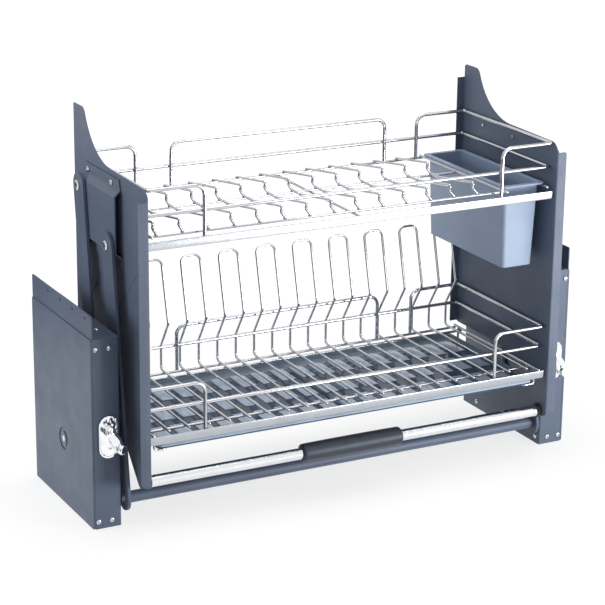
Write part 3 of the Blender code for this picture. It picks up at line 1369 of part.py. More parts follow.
def main():
    clear_scene()
    pieces = []
    for label, side in SIDES.items():
        pieces += make_fixed_side(label, side)
    carried = {
        "front_arms_pivot": (at(0, *FRONT_PIVOT), make_front_arms()),
        "basket_pivot": (at(0, *FRONT_BOLT), make_basket()),
        "cutlery_box_lift": (at(CUTLERY_RIM_LEFT, 0, CUTLERY_TOP), [make_cutlery_box("cutlery_box")]),
        "drip_tray_slide": (at(0, 0, TRAY_BOTTOM), [make_drip_tray("drip_tray")]),
    }
    for label, side in SIDES.items():
        hub = lever_hub(side)
        rod_piece = make_spring_rod(f"{label}_gas_spring_rod", side)
        lever = make_adjuster_lever(f"{label}_adjuster_lever", side)
        carried[f"{label}_rear_arm_pivot"] = (at(side * ARM_OUTER, *REAR_PIVOT), make_rear_arm(label, side))
        carried[f"{label}_spring_slide"] = (spring_point(side, 0), [rod_piece])
        carried[f"{label}_adjuster_pivot"] = (at(hub.x, 0, hub.y), [lever])
    for marker_name, (place, moving) in carried.items():
        carry(pivot_empty(marker_name, place), moving)
        pieces += moving
    for piece in pieces:
        smooth_round_faces(piece)


main()
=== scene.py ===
"""The looks of the swing-down cabinet rack: wires, fasteners, foam, surfaces, light and camera.

Lengths are in metres in the frame's own axes: x to the right, y to the back and z up. A depth is
measured back from the front of the two side boxes.
"""

import json
import math
from collections import namedtuple

import bmesh
import bpy
from mathutils import Matrix, Vector

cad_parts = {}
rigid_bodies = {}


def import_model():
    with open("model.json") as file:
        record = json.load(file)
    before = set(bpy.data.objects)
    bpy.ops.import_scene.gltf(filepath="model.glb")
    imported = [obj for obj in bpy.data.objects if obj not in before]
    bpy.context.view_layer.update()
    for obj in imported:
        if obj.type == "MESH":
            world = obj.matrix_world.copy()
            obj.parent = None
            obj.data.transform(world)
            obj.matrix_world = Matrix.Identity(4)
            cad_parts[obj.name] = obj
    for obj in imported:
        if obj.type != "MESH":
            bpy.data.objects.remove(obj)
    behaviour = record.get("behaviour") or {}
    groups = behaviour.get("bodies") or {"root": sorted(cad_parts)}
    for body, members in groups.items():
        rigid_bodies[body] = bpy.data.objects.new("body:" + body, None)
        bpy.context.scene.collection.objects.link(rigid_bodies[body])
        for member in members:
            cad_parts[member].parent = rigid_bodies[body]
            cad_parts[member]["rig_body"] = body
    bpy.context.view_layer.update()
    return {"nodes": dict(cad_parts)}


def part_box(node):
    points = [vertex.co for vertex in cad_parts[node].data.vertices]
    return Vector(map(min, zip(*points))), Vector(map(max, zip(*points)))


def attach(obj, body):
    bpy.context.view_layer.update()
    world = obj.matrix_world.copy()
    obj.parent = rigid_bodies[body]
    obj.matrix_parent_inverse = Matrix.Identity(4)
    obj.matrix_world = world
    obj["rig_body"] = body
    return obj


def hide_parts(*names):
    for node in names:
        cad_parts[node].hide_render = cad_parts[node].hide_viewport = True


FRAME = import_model()

SIDES = {"left": -1, "right": 1}
ORIGIN = Vector((0, 0, 0))
UP = Vector((0, 0, 1))
FORWARD = Vector((0, -1, 0))
FULL_TURN = 2 * math.pi
QUARTER_TURN = math.pi / 2

# Camera, fitted to the photograph
CAMERA_PLACE = Vector((-1.5496, -2.9072, 1.3331))
CAMERA_AZIMUTH = math.radians(-27.696)
CAMERA_ELEVATION = math.radians(17.713)
CAMERA_ROLL = math.radians(0.62)
CAMERA_LENS = 126.36
CAMERA_REACH = 60
SENSOR_WIDTH = 36.0

# Planes and sizes of the frame that the fine pieces repeat
BOX_FRONT = -0.095
BOX_INNER = 0.3855
PANEL_OUTER = 0.3595
RAIL_DIAMETER = 0.006
WIRE_DIAMETER = 0.0044
RUNNER_DIAMETER = 0.004
WELD_SINK = 0.0008
WIRE_STEP = WIRE_DIAMETER - WELD_SINK
SIDE_RAIL_X = 0.3547
SIDE_ROD_X = 0.3485
BORDER_X = 0.2717
POST_SPREAD = 0.262
FRONT_RAIL_DEPTH = -0.0427
BAR_REAR_DEPTH = -0.0457
SECOND_FRONT_DEPTH = -0.0375
SECOND_BACK_DEPTH = 0.2292
BACK_RAIL_DEPTH = 0.2240
BACK_LINE_DEPTH = 0.2284
BACK_END_DEPTH = BACK_LINE_DEPTH + WIRE_DIAMETER / 2
FRONT_END_DEPTH = BAR_REAR_DEPTH + 0.0003

# Bends of the wires, to their middle lines
RAIL_BEND = 0.016
CORNER_BEND = 0.005
FOOT_BEND = 0.008
HAIRPIN_BEND = 0.011
RUNNER_BEND = 0.005

# Each shelf: heights of its flat bar's underside, of its cross wires, of its second rail and of
# its top rail, and how far from the middle the posts of its rear rails stand
Shelf = namedtuple("Shelf", "bar line second top middle back")
UPPER = Shelf(bar=0.450, line=0.4655, second=0.501, top=0.541, middle=0.197, back=0.259)
LOWER = Shelf(bar=0.142, line=0.151, second=0.195, top=0.230, middle=0.190, back=0.257)
POST_FOOT_RISE = 0.002

# The upper shelf's cross wires: the depth of each and where it ends at the right
BOWL_LINES = {BACK_LINE_DEPTH: SIDE_ROD_X, 0.115: BORDER_X, 0.084: BORDER_X, -0.028: BORDER_X}
BOWL_WIRE_COUNT = 14
BOWL_WIRE_FIRST = -0.335
BOWL_WIRE_PITCH = 0.043

# A bowl wire seen from the side: depth, rise and bend of its corners, from back to front
BOWL_PROFILE = (
    (BACK_END_DEPTH, 0, 0),
    (0.123, 0.016, 0.0030),
    (0.129, 0.006, 0.0030),
    (0.115, 0, 0.0050),
    (0.084, 0, 0.0300),
    (-0.020, 0.016, 0.0030),
    (-0.014, 0.006, 0.0030),
    (-0.0302, 0, 0),
)

# The lower shelf's cross wires, its floor wires and the hairpins that all but the first two make
FLOOR_LINES = (-0.012, 0.201, 0.222)
FLOOR_WIRE_COUNT = 20
PLAIN_FLOOR_WIRES = 2
FLOOR_WIRE_FIRST = -0.317
FLOOR_WIRE_PITCH = 0.0343
FLOOR_WIRE_FRONT = -0.030
FLOOR_WIRE_BACK = 0.2242
HAIRPIN_DEPTH = 0.2336

# A hairpin's leg: how far behind its foot and above the floor wires each corner is, and its bend
HAIRPIN_LEG = (
    (0, 0, FOOT_BEND),
    (0, 0.042, FOOT_BEND),
    (-0.031, 0.089, FOOT_BEND),
    (-0.005, 0.192, HAIRPIN_BEND),
)

# The runners that hang under the lower shelf and carry the drip tray
RUNNER_LEG_X = SIDE_ROD_X - 0.0034
RUNNER_INNER_X = RUNNER_LEG_X - 0.020
RUNNER_FRONT = -0.036
RUNNER_BACK = 0.206
RUNNER_GAP = 0.0003
RUNNER_BEAD_X = RUNNER_LEG_X + 0.0020
RUNNER_BEAD_DROP = 0.001

# Weld beads: the radius of each kind and how it is squashed along x, y and z
POST_BEAD = (0.0030, (1.15, 1, 1.15))
BAR_BEAD = (0.0026, (1.3, 0.8, 1.6))
BAR_BEAD_FORWARD = 0.0015
BAR_BEAD_RISE = 0.009
BOWL_BEAD = (0.0024, (1.25, 1.25, 0.9))
LINE_BEAD = (0.0023, (1.25, 1.25, 0.9))
SPREAD_BEAD = (0.0026, (1.2, 1.0, 1.1))
SPREAD_BEAD_BACK = 0.0028
HAIRPIN_BEAD = (0.0024, (1.2, 1.0, 1.2))
RUNNER_BEAD = (0.0023, (1, 1.3, 1.2))

# Facets
RAIL_SEGMENTS = 16
WIRE_SEGMENTS = 12
BEND_STEPS = 7
BEAD_SEGMENTS = 12
TURNED_SEGMENTS = 48
SCREW_SEGMENTS = 32
FOAM_SEGMENTS = 64
FOAM_ROLL_STEPS = 8
FOAM_LENGTH_STEPS = 24
SHARP_ANGLE = math.radians(32)

# A cropped wire's end, as shares of the wire: its shoulder's width and rise, and its tip's rise
DOME_WIDTH = 0.72
DOME_SHOULDER = 0.12
DOME_TIP = 0.18

# Softened edges: how a node's mesh is cleaned first, and how far each piece's edges are rounded
MERGE_DISTANCE = 1e-6
FLAT_ANGLE = math.radians(0.5)
EDGE_ANGLE = math.radians(30)
EDGE_SEGMENTS = 3
SIDE_EDGES = {
    "mounting_plate": ("dark_enamel", 0.0004),
    "box_housing": ("dark_enamel", 0.0007),
    "outer_cover": ("dark_enamel", 0.0003),
    "front_arm": ("dark_enamel", 0.0006),
    "rear_arm": ("dark_enamel", 0.0006),
    "side_panel": ("dark_enamel", 0.0004),
    "arm_bracket": ("dark_enamel", 0.0005),
    "adjuster_plate": ("cast_chrome", 0.0006),
}
MIDDLE_EDGES = {
    "upper_front_rail": ("bright_bar", 0.0009),
    "lower_front_rail": ("bright_bar", 0.0009),
    "cutlery_box": ("grey_blue_plastic", 0.0007),
    "drip_tray": ("clear_tray_plastic", 0.0005),
}

# A pan head: rise and radius of its outline as shares, and the neck that is sunk in the sheet
PAN_SHARES = (
    (0, 0.93),
    (0.12, 1.0),
    (0.50, 0.97),
    (0.78, 0.84),
    (0.93, 0.62),
    (1.0, 0.34),
    (1.0, 0),
)
PAN_NECK = 0.5

# The cross recess: its reach and blade as shares of the head, and its point as shares of those
RECESS_REACH = 0.33
RECESS_BLADE = 0.095
RECESS_POINT_REACH = 0.55
RECESS_POINT_BLADE = 0.6
RECESS_BOTTOM = 0.25
RECESS_TOP = 1.2

# Where the boxes' screws sit, and how each one's recess happens to be turned
BOX_SCREW_DIAMETER = 0.0080
BOX_SCREW_HEIGHT = 0.0022
BOX_SCREW_SPREADS = (0.402, 0.424)
BOX_SCREW_LOW = 0.012
BOX_SCREW_HIGH = 0.292
BOX_TOP_SCREW = (0.403, 0.044, 0.308)
BOX_INNER_SCREW_DEPTHS = (0.011, 0.200)
BOX_SCREW_TURN = 0.5
BOX_SCREW_TURN_STEP = 0.9
BRACKET_SCREW_COUNT = 4
BRACKET_SCREW_HEAD = 0.0024
BRACKET_SCREW_SHANK = 0.28
BRACKET_SCREW_TURN = 0.4

# The arms' upper bolts: distance from the frame's own face and radius of the outline
BOLT_PROFILE = (
    (-0.0012, 0.0062),
    (-0.0001, 0.0062),
    (0.0001, 0.0058),
    (0.0001, 0.0032),
    (-0.0001, 0.0028),
    (-0.0017, 0.002632),
    (-0.0017, 0),
)

# The rear pivots' ends: distance from the pin's face, and radius as a share of the pin's
PIN_RING_PROFILE = (
    (-0.0004, 0.98),
    (0.0001, 0.98),
    (0.0002, 0.90),
    (0.0002, 0.52),
    (-0.0004, 0.50),
)
PIN_CENTRE_PROFILE = ((-0.0004, 0.40), (0.0001, 0.40), (0.0002, 0.34), (0.00022, 0))

# The side panels' creases: depth, height and bend of the corners of each line
CREASE_WIDTH = 0.0014
CREASE_LINES = (
    ((-0.016, 0.408, 0), (0.057, 0.338, 0.006), (0.068, 0.322, 0.006), (0.055, 0.310, 0)),
    ((0.132, 0.367, 0), (0.168, 0.327, 0)),
)

# The foam sleeve
FOAM_BORE = 0.0097
FOAM_BORE_BEVEL = 0.001
FOAM_ROLL = 0.0042
FOAM_CROWN = 0.0006
FOAM_CROWN_POWER = 0.6

# The adjusters' cast levers: the arm runs from hub to knob at these depths behind their front
LEVER_HUB_RADIUS = 0.009
LEVER_HUB_SQUASH = (0.98, 0.55, 0.98)
LEVER_HUB_DEPTH = 0.0085
LEVER_KNOB_RADIUS = 0.0085
LEVER_KNOB_SQUASH = (1.04, 0.62, 1.04)
LEVER_KNOB_DEPTH = 0.0055
LEVER_ARM_WIDTH = 0.0125
LEVER_ARM_DEPTHS = (0.0095, 0.0090, 0.0085)
LEVER_BOW = Vector((0.0035, 0, 0.0025))
LEVER_BEND = 0.030
LEVER_VOXEL = 0.00055
LEVER_SMOOTHING = 0.6
LEVER_SMOOTH_ROUNDS = 14

# The drip tray's colours change at these heights above its floor, and at its rear strip: the dark
# gaps between its raised pads are painted shade, and the pads' paler tops are a painted highlight
TRAY_FLOOR_THICKNESS = 0.0018
TRAY_PAD_START = 0.0004
TRAY_PAD_FULL = 0.0012
TRAY_WALL_START = 0.0022
TRAY_REAR_STRIP = 0.026
# Painted shade: the dark colour in the gaps between the tray's pads
TRAY_PAINTED_SHADE_COLOUR = (0.065, 0.100, 0.160, 1)
# Painted highlight: the paler colour of the tray's pad tops
TRAY_PAINTED_HIGHLIGHT_COLOUR = (0.48, 0.62, 0.80, 1)
TRAY_WALL_COLOUR = (0.36, 0.45, 0.55, 1)

WHITE = (1, 1, 1, 1)
FLOOR_REACH = 14.0
FLOOR_DROP = 0.0004
FLOOR_COLOUR = (0.36, 0.36, 0.36, 1)

# The floor's glow for each kind of ray: the distances from the set's middle between which it grows,
# and its strengths there. Because the glow is weaker near the set, it paints shade on the floor
# round the rack.
FLOOR_GLOW = {
    "Is Camera Ray": ((0.5, 1.8), (0.76, 0.96)),
    "Is Glossy Ray": ((0.20, 1.2), (0.78, 0.94)),
    "Is Diffuse Ray": ((0.3, 1.2), (0.25, 0.60)),
}

# The surround's strength for rays that the eye follows, and for the rest
SURROUND_SEEN = 1.0
SURROUND_UNSEEN = 0.30

# Lamps: place, point aimed at, width and height, and power
LAMPS = {
    "key": ((1.40, -1.70, 0.26), (0, 0, 0.3), (1.3, 0.8), 28),
    "low": ((0.75, -1.45, 0.10), (0.37, -0.04, 0.10), (0.6, 0.20), 8),
    "fill": ((-2.6, 0.42, 0.90), (-0.4, 0, 0.3), (1.5, 0.9), 22),
    "top": ((0.2, 0.3, 2.8), (0, 0, 0.3), (2.4, 1.6), 30),
}

# Black cards beside the set, by their corners
FLAG_COLOUR = (0.02, 0.022, 0.028, 1)
FLAG_ROUGHNESS = 0.9
FLAGS = {
    "flag_behind": ((-1.2, 2.2, 2.2), (3.0, 1.4, 2.2), (2.4, 1.0, 3.6), (-1.2, 1.6, 3.6)),
    "flag_left": (
        (-1.25, 0.20, 0.01),
        (-0.35, 1.15, 0.01),
        (-0.35, 1.15, 0.36),
        (-1.25, 0.20, 0.36),
    ),
    "flag_front": ((-1.3, -0.5, 0.01), (-0.3, -1.4, 0.01), (-0.3, -1.4, 0.34), (-1.3, -0.5, 0.34)),
    "flag_low": (
        (-0.62, -0.22, 0.004),
        (-0.42, -0.4, 0.004),
        (-0.35, -1.3, 0.004),
        (-1.3, -0.5, 0.004),
    ),
    "flag_far_left": ((-2.0, 2.0, 0.5), (-2.6, -0.2, 0.5), (-2.6, -0.2, 2.0), (-2.0, 2.0, 2.0)),
}


def at(x, depth, height):
    """A point from its distance to the right, its depth and its height."""
    return Vector((x, BOX_FRONT + depth, height))


def side_face(node, side):
    """The middle of a node's left or right face."""
    low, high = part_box(node)
    return Vector((low.x if side < 0 else high.x, (low.y + high.y) / 2, (low.z + high.z) / 2))


def link(name, data):
    made = bpy.data.objects.new(name, data)
    bpy.context.scene.collection.objects.link(made)
    return made


def show(name, mesh, body, replaced=()):
    """A shown piece from a mesh: it rides on a body and may stand for nodes of the frame."""
    piece = link(name, mesh)
    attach(piece, body)
    if replaced:
        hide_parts(*replaced)
    return piece


def smoothed(mesh):
    mesh.shade_smooth()
    mesh.set_sharp_from_angle(angle=SHARP_ANGLE)
    return mesh


def to_mesh(name, shape):
    """A mesh from a shape, which is used up."""
    bmesh.ops.recalc_face_normals(shape, faces=shape.faces)
    mesh = bpy.data.meshes.new(name)
    shape.to_mesh(mesh)
    shape.free()
    return mesh


def make_piece(name, shape, surface, body, replaced=()):
    mesh = to_mesh(name, shape)
    mesh.materials.append(surface)
    return show(name, smoothed(mesh), body, replaced)


def rounded(corners, closed=False):
    """Points along straight runs between corners, each a point and the radius of its bend."""
    count = len(corners)
    points = []
    for index, (corner, radius) in enumerate(corners):
        ends = not closed and index in (0, count - 1)
        if ends or radius == 0:
            points.append(corner)
            continue
        before = (corners[index - 1][0] - corner).normalized()
        after = (corners[(index + 1) % count][0] - corner).normalized()
        half = before.angle(after) / 2
        middle = corner + (before + after).normalized() * (radius / math.sin(half))
        outward = (corner + before * (radius / math.tan(half)) - middle).normalized()
        swing = math.pi - 2 * half
        for step in range(BEND_STEPS + 1):
            turn = swing * step / BEND_STEPS
            points.append(middle + radius * (outward * math.cos(turn) - before * math.sin(turn)))
    return points


def frame_across(direction):
    """Two unit directions across a given one."""
    upright = abs(direction.z) >= 0.7
    reference = Vector((1, 0, 0)) if upright else UP
    first = direction.cross(reference).normalized()
    return first, direction.cross(first).normalized()


def wire(shape, corners, diameter, segments=WIRE_SEGMENTS, closed=False):
    """Adds a bent round wire, with domed ends, from corner points and bend radii."""
    path = rounded(corners, closed)
    count = len(path)
    rings = []
    across = None
    for index, point in enumerate(path):
        back = ahead = None
        if index or closed:
            back = (point - path[index - 1]).normalized()
        if index + 1 < count or closed:
            ahead = (path[(index + 1) % count] - point).normalized()
        run = back or ahead
        heading = (run + (ahead or back)).normalized()
        across = frame_across(run)[0] if across is None else across
        across = (across - run * across.dot(run)).normalized()
        rings.append(wire_ring(shape, point, run, heading, across, diameter / 2, segments))
    pairs = list(zip(rings, rings[1:]))
    if closed:
        pairs.append((rings[-1], nearest_start(rings[-1], rings[0])))
    for low, high in pairs:
        for step in range(segments):
            following = (step + 1) % segments
            shape.faces.new((low[step], low[following], high[following], high[step]))
    if not closed:
        dome(shape, rings[0], path[0], (path[0] - path[1]).normalized(), diameter)
        dome(shape, rings[-1], path[-1], (path[-1] - path[-2]).normalized(), diameter)


def wire_ring(shape, point, run, heading, across, radius, segments):
    """A ring round a wire that runs one way, mitred square to the heading at its corner."""
    third = run.cross(across)
    ring = []
    for step in range(segments):
        turn = FULL_TURN * step / segments
        spoke = (across * math.cos(turn) + third * math.sin(turn)) * radius
        slide = -spoke.dot(heading) / run.dot(heading)
        ring.append(shape.verts.new(point + spoke + run * slide))
    return ring


def nearest_start(last, first):
    """The first ring of a closed wire, started at the point nearest the last ring's start."""
    best = min(range(len(first)), key=lambda offset: (first[offset].co - last[0].co).length)
    return first[best:] + first[:best]


def dome(shape, ring, centre, outward, diameter):
    """Closes a wire's end with a low dome, as a cropped and tumbled wire has."""
    shoulder = outward * diameter * DOME_SHOULDER
    inner = [shape.verts.new(centre + (vert.co - centre) * DOME_WIDTH + shoulder) for vert in ring]
    count = len(ring)
    for index in range(count):
        following = (index + 1) % count
        shape.faces.new((ring[index], ring[following], inner[following], inner[index]))
    tip = shape.verts.new(centre + outward * diameter * DOME_TIP)
    for index in range(count):
        shape.faces.new((inner[index], inner[(index + 1) % count], tip))


def rod(shape, start, end):
    wire(shape, [(start, 0), (end, 0)], WIRE_DIAMETER)


def rail(shape, corners, closed=False):
    wire(shape, corners, RAIL_DIAMETER, RAIL_SEGMENTS, closed)


def bead(shape, place, kind):
    """A small flattened ball, such as the weld where two wires meet."""
    size, squash = kind
    scale = Matrix.Diagonal((size * squash[0], size * squash[1], size * squash[2], 1))
    bmesh.ops.create_uvsphere(
        shape,
        u_segments=BEAD_SEGMENTS,
        v_segments=BEAD_SEGMENTS // 2,
        radius=1,
        matrix=Matrix.Translation(place) @ scale,
    )


def turned(shape, profile, base, direction, segments=TURNED_SEGMENTS, ring=False):
    """Adds a shape turned about an axis, from pairs of distance along the axis and radius."""
    direction = direction.normalized()
    first, second = frame_across(direction)
    turns = [FULL_TURN * step / segments for step in range(segments)]
    spokes = [first * math.cos(turn) + second * math.sin(turn) for turn in turns]
    rings = []
    for distance, radius in profile:
        centre = base + direction * distance
        if radius == 0:
            rings.append([shape.verts.new(centre)] * segments)
            continue
        rings.append([shape.verts.new(centre + radius * spoke) for spoke in spokes])
    pairs = list(zip(rings, rings[1:]))
    if ring:
        pairs.append((rings[-1], rings[0]))
    for low, high in pairs:
        for index in range(segments):
            following = (index + 1) % segments
            corners = (low[index], low[following], high[following], high[index])
            shape.faces.new(list(dict.fromkeys(corners)))
    if not ring:
        for (_, radius), ends in ((profile[0], rings[0]), (profile[-1], rings[-1])):
            if radius:
                shape.faces.new(ends)


def softened(node, surface, width):
    """A copy of a node of the frame with its sharp edges rounded, shown in the node's place."""
    source = FRAME["nodes"][node]
    shape = bmesh.new()
    shape.from_mesh(source.data)
    bmesh.ops.remove_doubles(shape, verts=shape.verts, dist=MERGE_DISTANCE)
    bmesh.ops.dissolve_limit(
        shape,
        angle_limit=FLAT_ANGLE,
        verts=shape.verts,
        edges=shape.edges,
        delimit={"NORMAL"},
    )
    piece = make_piece(f"{node}_fine", shape, surface, source["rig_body"], (node,))
    bevel = piece.modifiers.new("edges", "BEVEL")
    bevel.width = width
    bevel.segments = EDGE_SEGMENTS
    bevel.limit_method = "ANGLE"
    bevel.angle_limit = EDGE_ANGLE
    bevel.harden_normals = True
    bevel.use_clamp_overlap = True


class Tree:
    """The node tree of a material or of the world, while it is put together."""

    def __init__(self, owner):
        owner.use_nodes = True
        self.nodes = owner.node_tree.nodes
        self.links = owner.node_tree.links

    def feed(self, node, inputs):
        """Gives a node's inputs, each a value or another node's output."""
        for key, term in inputs.items():
            if isinstance(term, bpy.types.NodeSocket):
                self.links.new(term, node.inputs[key])
            else:
                node.inputs[key].default_value = term

    def add(self, kind, inputs=None, output=None):
        """Adds a node and gives back one of its outputs, or the node where none is named."""
        node = self.nodes.new(kind)
        self.feed(node, inputs or {})
        return node.outputs[output] if output else node

    def maths(self, operation, *terms):
        node = self.add("ShaderNodeMath")
        node.operation = operation
        self.feed(node, dict(enumerate(terms)))
        return node.outputs["Value"]

    def mixed(self, blend, factor, first, second):
        """Two colours, each a value or another node's output, mixed by a factor."""
        node = self.add("ShaderNodeMix")
        node.data_type = "RGBA"
        node.blend_type = blend
        self.feed(node, {"Factor": factor, "A": first, "B": second})
        return node.outputs["Result"]


class Surface(Tree):
    """A material round one principled shader, on the object's own coordinates."""

    def __init__(self, name):
        self.material = bpy.data.materials.new(name)
        super().__init__(self.material)
        self.place = self.add("ShaderNodeTexCoord", output="Object")

    def noise(self, scale, detail, roughness=0.5, stretch=None):
        place = self.place
        if stretch:
            place = self.add("ShaderNodeMapping", {"Vector": place, "Scale": stretch}, "Vector")
        inputs = {"Vector": place, "Scale": scale, "Detail": detail, "Roughness": roughness}
        return self.add("ShaderNodeTexNoise", inputs, "Fac")

    def ramp(self, factor, low, high, start=0.3, end=0.7):
        """Two values or colours run through by a factor."""
        made = self.add("ShaderNodeValToRGB", {"Fac": factor})
        stops = made.color_ramp.elements
        stops[0].position = start
        stops[1].position = end
        stops[0].color = low if isinstance(low, tuple) else (low, low, low, 1)
        stops[1].color = high if isinstance(high, tuple) else (high, high, high, 1)
        return made.outputs["Color"]

    def bump(self, height, strength, distance, below=None):
        inputs = {"Height": height, "Strength": strength, "Distance": distance}
        if below:
            inputs["Normal"] = below
        return self.add("ShaderNodeBump", inputs, "Normal")

    def finished(self, inputs):
        self.feed(self.nodes["Principled BSDF"], inputs)
        return self.material


def shade(colour, factor):
    return (*[min(1.0, channel * factor) for channel in colour], 1)


def powder_coat(name, colour, roughness=0.42):
    """Satin powder coat: fine orange peel and grain over faint cloudiness."""
    made = Surface(name)
    cloud = made.noise(scale=9, detail=5)
    speck = made.noise(scale=1400, detail=2)
    smudge = made.noise(scale=30, detail=6)
    peel = made.bump(made.noise(scale=520, detail=3), strength=0.22, distance=0.0004)
    base = made.ramp(cloud, shade(colour, 0.90), shade(colour, 1.10))
    grain = made.ramp(speck, 0.86, 1.12, start=0.35, end=0.65)
    return made.finished({
        "Base Color": made.mixed("MULTIPLY", 1.0, base, grain),
        "Roughness": made.ramp(smudge, roughness - 0.05, roughness + 0.07),
        "Normal": made.bump(speck, strength=0.12, distance=0.0002, below=peel),
        "Specular IOR Level": 0.36,
    })


def polished_metal(name, colour, roughness, streak=None, relief=0.03):
    """Plated or polished metal with faint handling marks, and drawing lines if streaked."""
    made = Surface(name)
    film = made.noise(scale=45, detail=6, roughness=0.6)
    marks = made.noise(scale=220, detail=5, roughness=0.65, stretch=streak)
    fine = made.noise(scale=900, detail=2, stretch=streak)
    return made.finished({
        "Base Color": made.ramp(film, shade(colour, 0.94), shade(colour, 1.04)),
        "Roughness": made.ramp(marks, roughness * 0.75, roughness * 1.35),
        "Normal": made.bump(fine, strength=relief, distance=0.0002),
        "Metallic": 1.0,
    })


def cast_metal(name, colour, roughness):
    """Plated casting: bright, with the slow waves that polishing leaves in a small casting."""
    made = Surface(name)
    film = made.noise(scale=60, detail=5, roughness=0.6)
    marks = made.noise(scale=260, detail=4, roughness=0.6)
    wave = made.bump(made.noise(scale=120, detail=1), strength=0.55, distance=0.0022)
    return made.finished({
        "Base Color": made.ramp(film, shade(colour, 0.90), shade(colour, 1.05)),
        "Roughness": made.ramp(marks, roughness * 0.7, roughness * 1.5),
        "Normal": made.bump(marks, strength=0.05, distance=0.0003, below=wave),
        "Metallic": 1.0,
    })


def moulded_plastic(name, colour, roughness):
    """Injection-moulded plastic with a fine spark-eroded grain and a slow change of tone."""
    made = Surface(name)
    flow = made.noise(scale=14, detail=4)
    grain = made.noise(scale=1100, detail=3)
    return made.finished({
        "Base Color": made.ramp(flow, shade(colour, 0.95), shade(colour, 1.05)),
        "Roughness": made.ramp(grain, roughness - 0.04, roughness + 0.06),
        "Normal": made.bump(grain, strength=0.08, distance=0.0002),
        "Specular IOR Level": 0.34,
        "IOR": 1.46,
    })


def tray_plastic(name):
    """Smoky blue plastic, shinier on the tops of its raised pads, with pale walls. The pad tops'
    paler colour is a painted highlight, and the dark gaps between the pads are painted shade.
    """
    low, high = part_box("drip_tray")
    floor_top = low.z + TRAY_FLOOR_THICKNESS
    made = Surface(name)
    parts = made.add("ShaderNodeSeparateXYZ", {"Vector": made.place})
    height, depth = parts.outputs["Z"], parts.outputs["Y"]
    rise = {
        "Value": height,
        "From Min": floor_top + TRAY_PAD_START,
        "From Max": floor_top + TRAY_PAD_FULL,
    }
    raised = made.add("ShaderNodeMapRange", rise, "Result")
    under_walls = made.maths("LESS_THAN", height, floor_top + TRAY_WALL_START)
    pad = made.maths("MULTIPLY", raised, under_walls)
    ahead = made.maths("LESS_THAN", depth, high.y - TRAY_REAR_STRIP)
    basin = made.maths("MULTIPLY", under_walls, ahead)
    # Painted light: painted shade in the gaps between the pads, and a painted highlight on the pad
    # tops
    tone = made.ramp(pad, TRAY_PAINTED_SHADE_COLOUR, TRAY_PAINTED_HIGHLIGHT_COLOUR, start=0.0, end=1.0)
    whole = made.mixed("MIX", basin, TRAY_WALL_COLOUR, tone)
    cloud = made.ramp(made.noise(scale=16, detail=4), 0.88, 1.12)
    ripple = made.noise(scale=38, detail=2)
    return made.finished({
        "Base Color": made.mixed("MULTIPLY", 1.0, whole, cloud),
        "Roughness": made.ramp(pad, 0.07, 0.26, start=0.0, end=1.0),
        "Normal": made.bump(ripple, strength=0.10, distance=0.0010),
        "Transmission Weight": 0.10,
        "IOR": 1.49,
        "Specular IOR Level": made.ramp(pad, 0.12, 0.60, start=0.0, end=1.0),
        "Coat Weight": made.ramp(pad, 0.0, 0.7, start=0.0, end=1.0),
        "Coat Roughness": 0.05,
    })


def foam_rubber(name, colour):
    """Closed-cell foam: matt, softly glowing at its edge, with small open pores in its skin."""
    made = Surface(name)
    cells = made.add("ShaderNodeTexVoronoi", {"Vector": made.place, "Scale": 950}, "Distance")
    cloud = made.noise(scale=60, detail=5)
    wave = made.bump(made.noise(scale=55, detail=3), strength=0.25, distance=0.0010)
    return made.finished({
        "Base Color": made.ramp(cloud, shade(colour, 0.8), shade(colour, 1.25)),
        "Roughness": made.ramp(cloud, 0.40, 0.52),
        "Normal": made.bump(cells, strength=0.35, distance=0.0003, below=wave),
        "Specular Tint": (0.80, 0.92, 1.0, 1),
        "Sheen Weight": 0.10,
        "Sheen Roughness": 0.5,
    })


def make_surfaces():
    """The surfaces by the frame's slot names, with a few that only this script uses."""
    drawn = {"streak": (0.04, 1, 1), "relief": 0.002}
    return {
        "dark_enamel": powder_coat("slate_powder_coat", (0.102, 0.133, 0.196)),
        "chrome_trim": polished_metal("polished_chrome", (0.80, 0.81, 0.83), 0.09, relief=0.01),
        "cast_chrome": cast_metal("plated_casting", (0.90, 0.91, 0.93), 0.08),
        "chrome_fasteners": polished_metal("plated_screws", (0.66, 0.67, 0.69), 0.16),
        "chrome_rods": polished_metal("hard_chromed_rod", (0.80, 0.81, 0.83), 0.17, **drawn),
        "bright_wire": polished_metal("polished_steel_wire", (0.56, 0.57, 0.60), 0.09),
        "bright_bar": polished_metal("polished_bar", (0.45, 0.475, 0.505), 0.15),
        "plain_steel": polished_metal("plain_steel", (0.45, 0.46, 0.48), 0.38),
        "weld_steel": polished_metal("polished_weld_steel", (0.30, 0.30, 0.31), 0.30),
        "pin_steel": polished_metal("blued_pin_steel", (0.13, 0.15, 0.19), 0.34),
        "dark_plastic": moulded_plastic("black_plastic", (0.035, 0.037, 0.042), 0.38),
        "grey_blue_plastic": moulded_plastic("grey_blue_plastic", (0.325, 0.405, 0.550), 0.38),
        "clear_tray_plastic": tray_plastic("clear_tray_plastic"),
        "foam_rubber": foam_rubber("closed_cell_foam", (0.026, 0.031, 0.046)),
    }


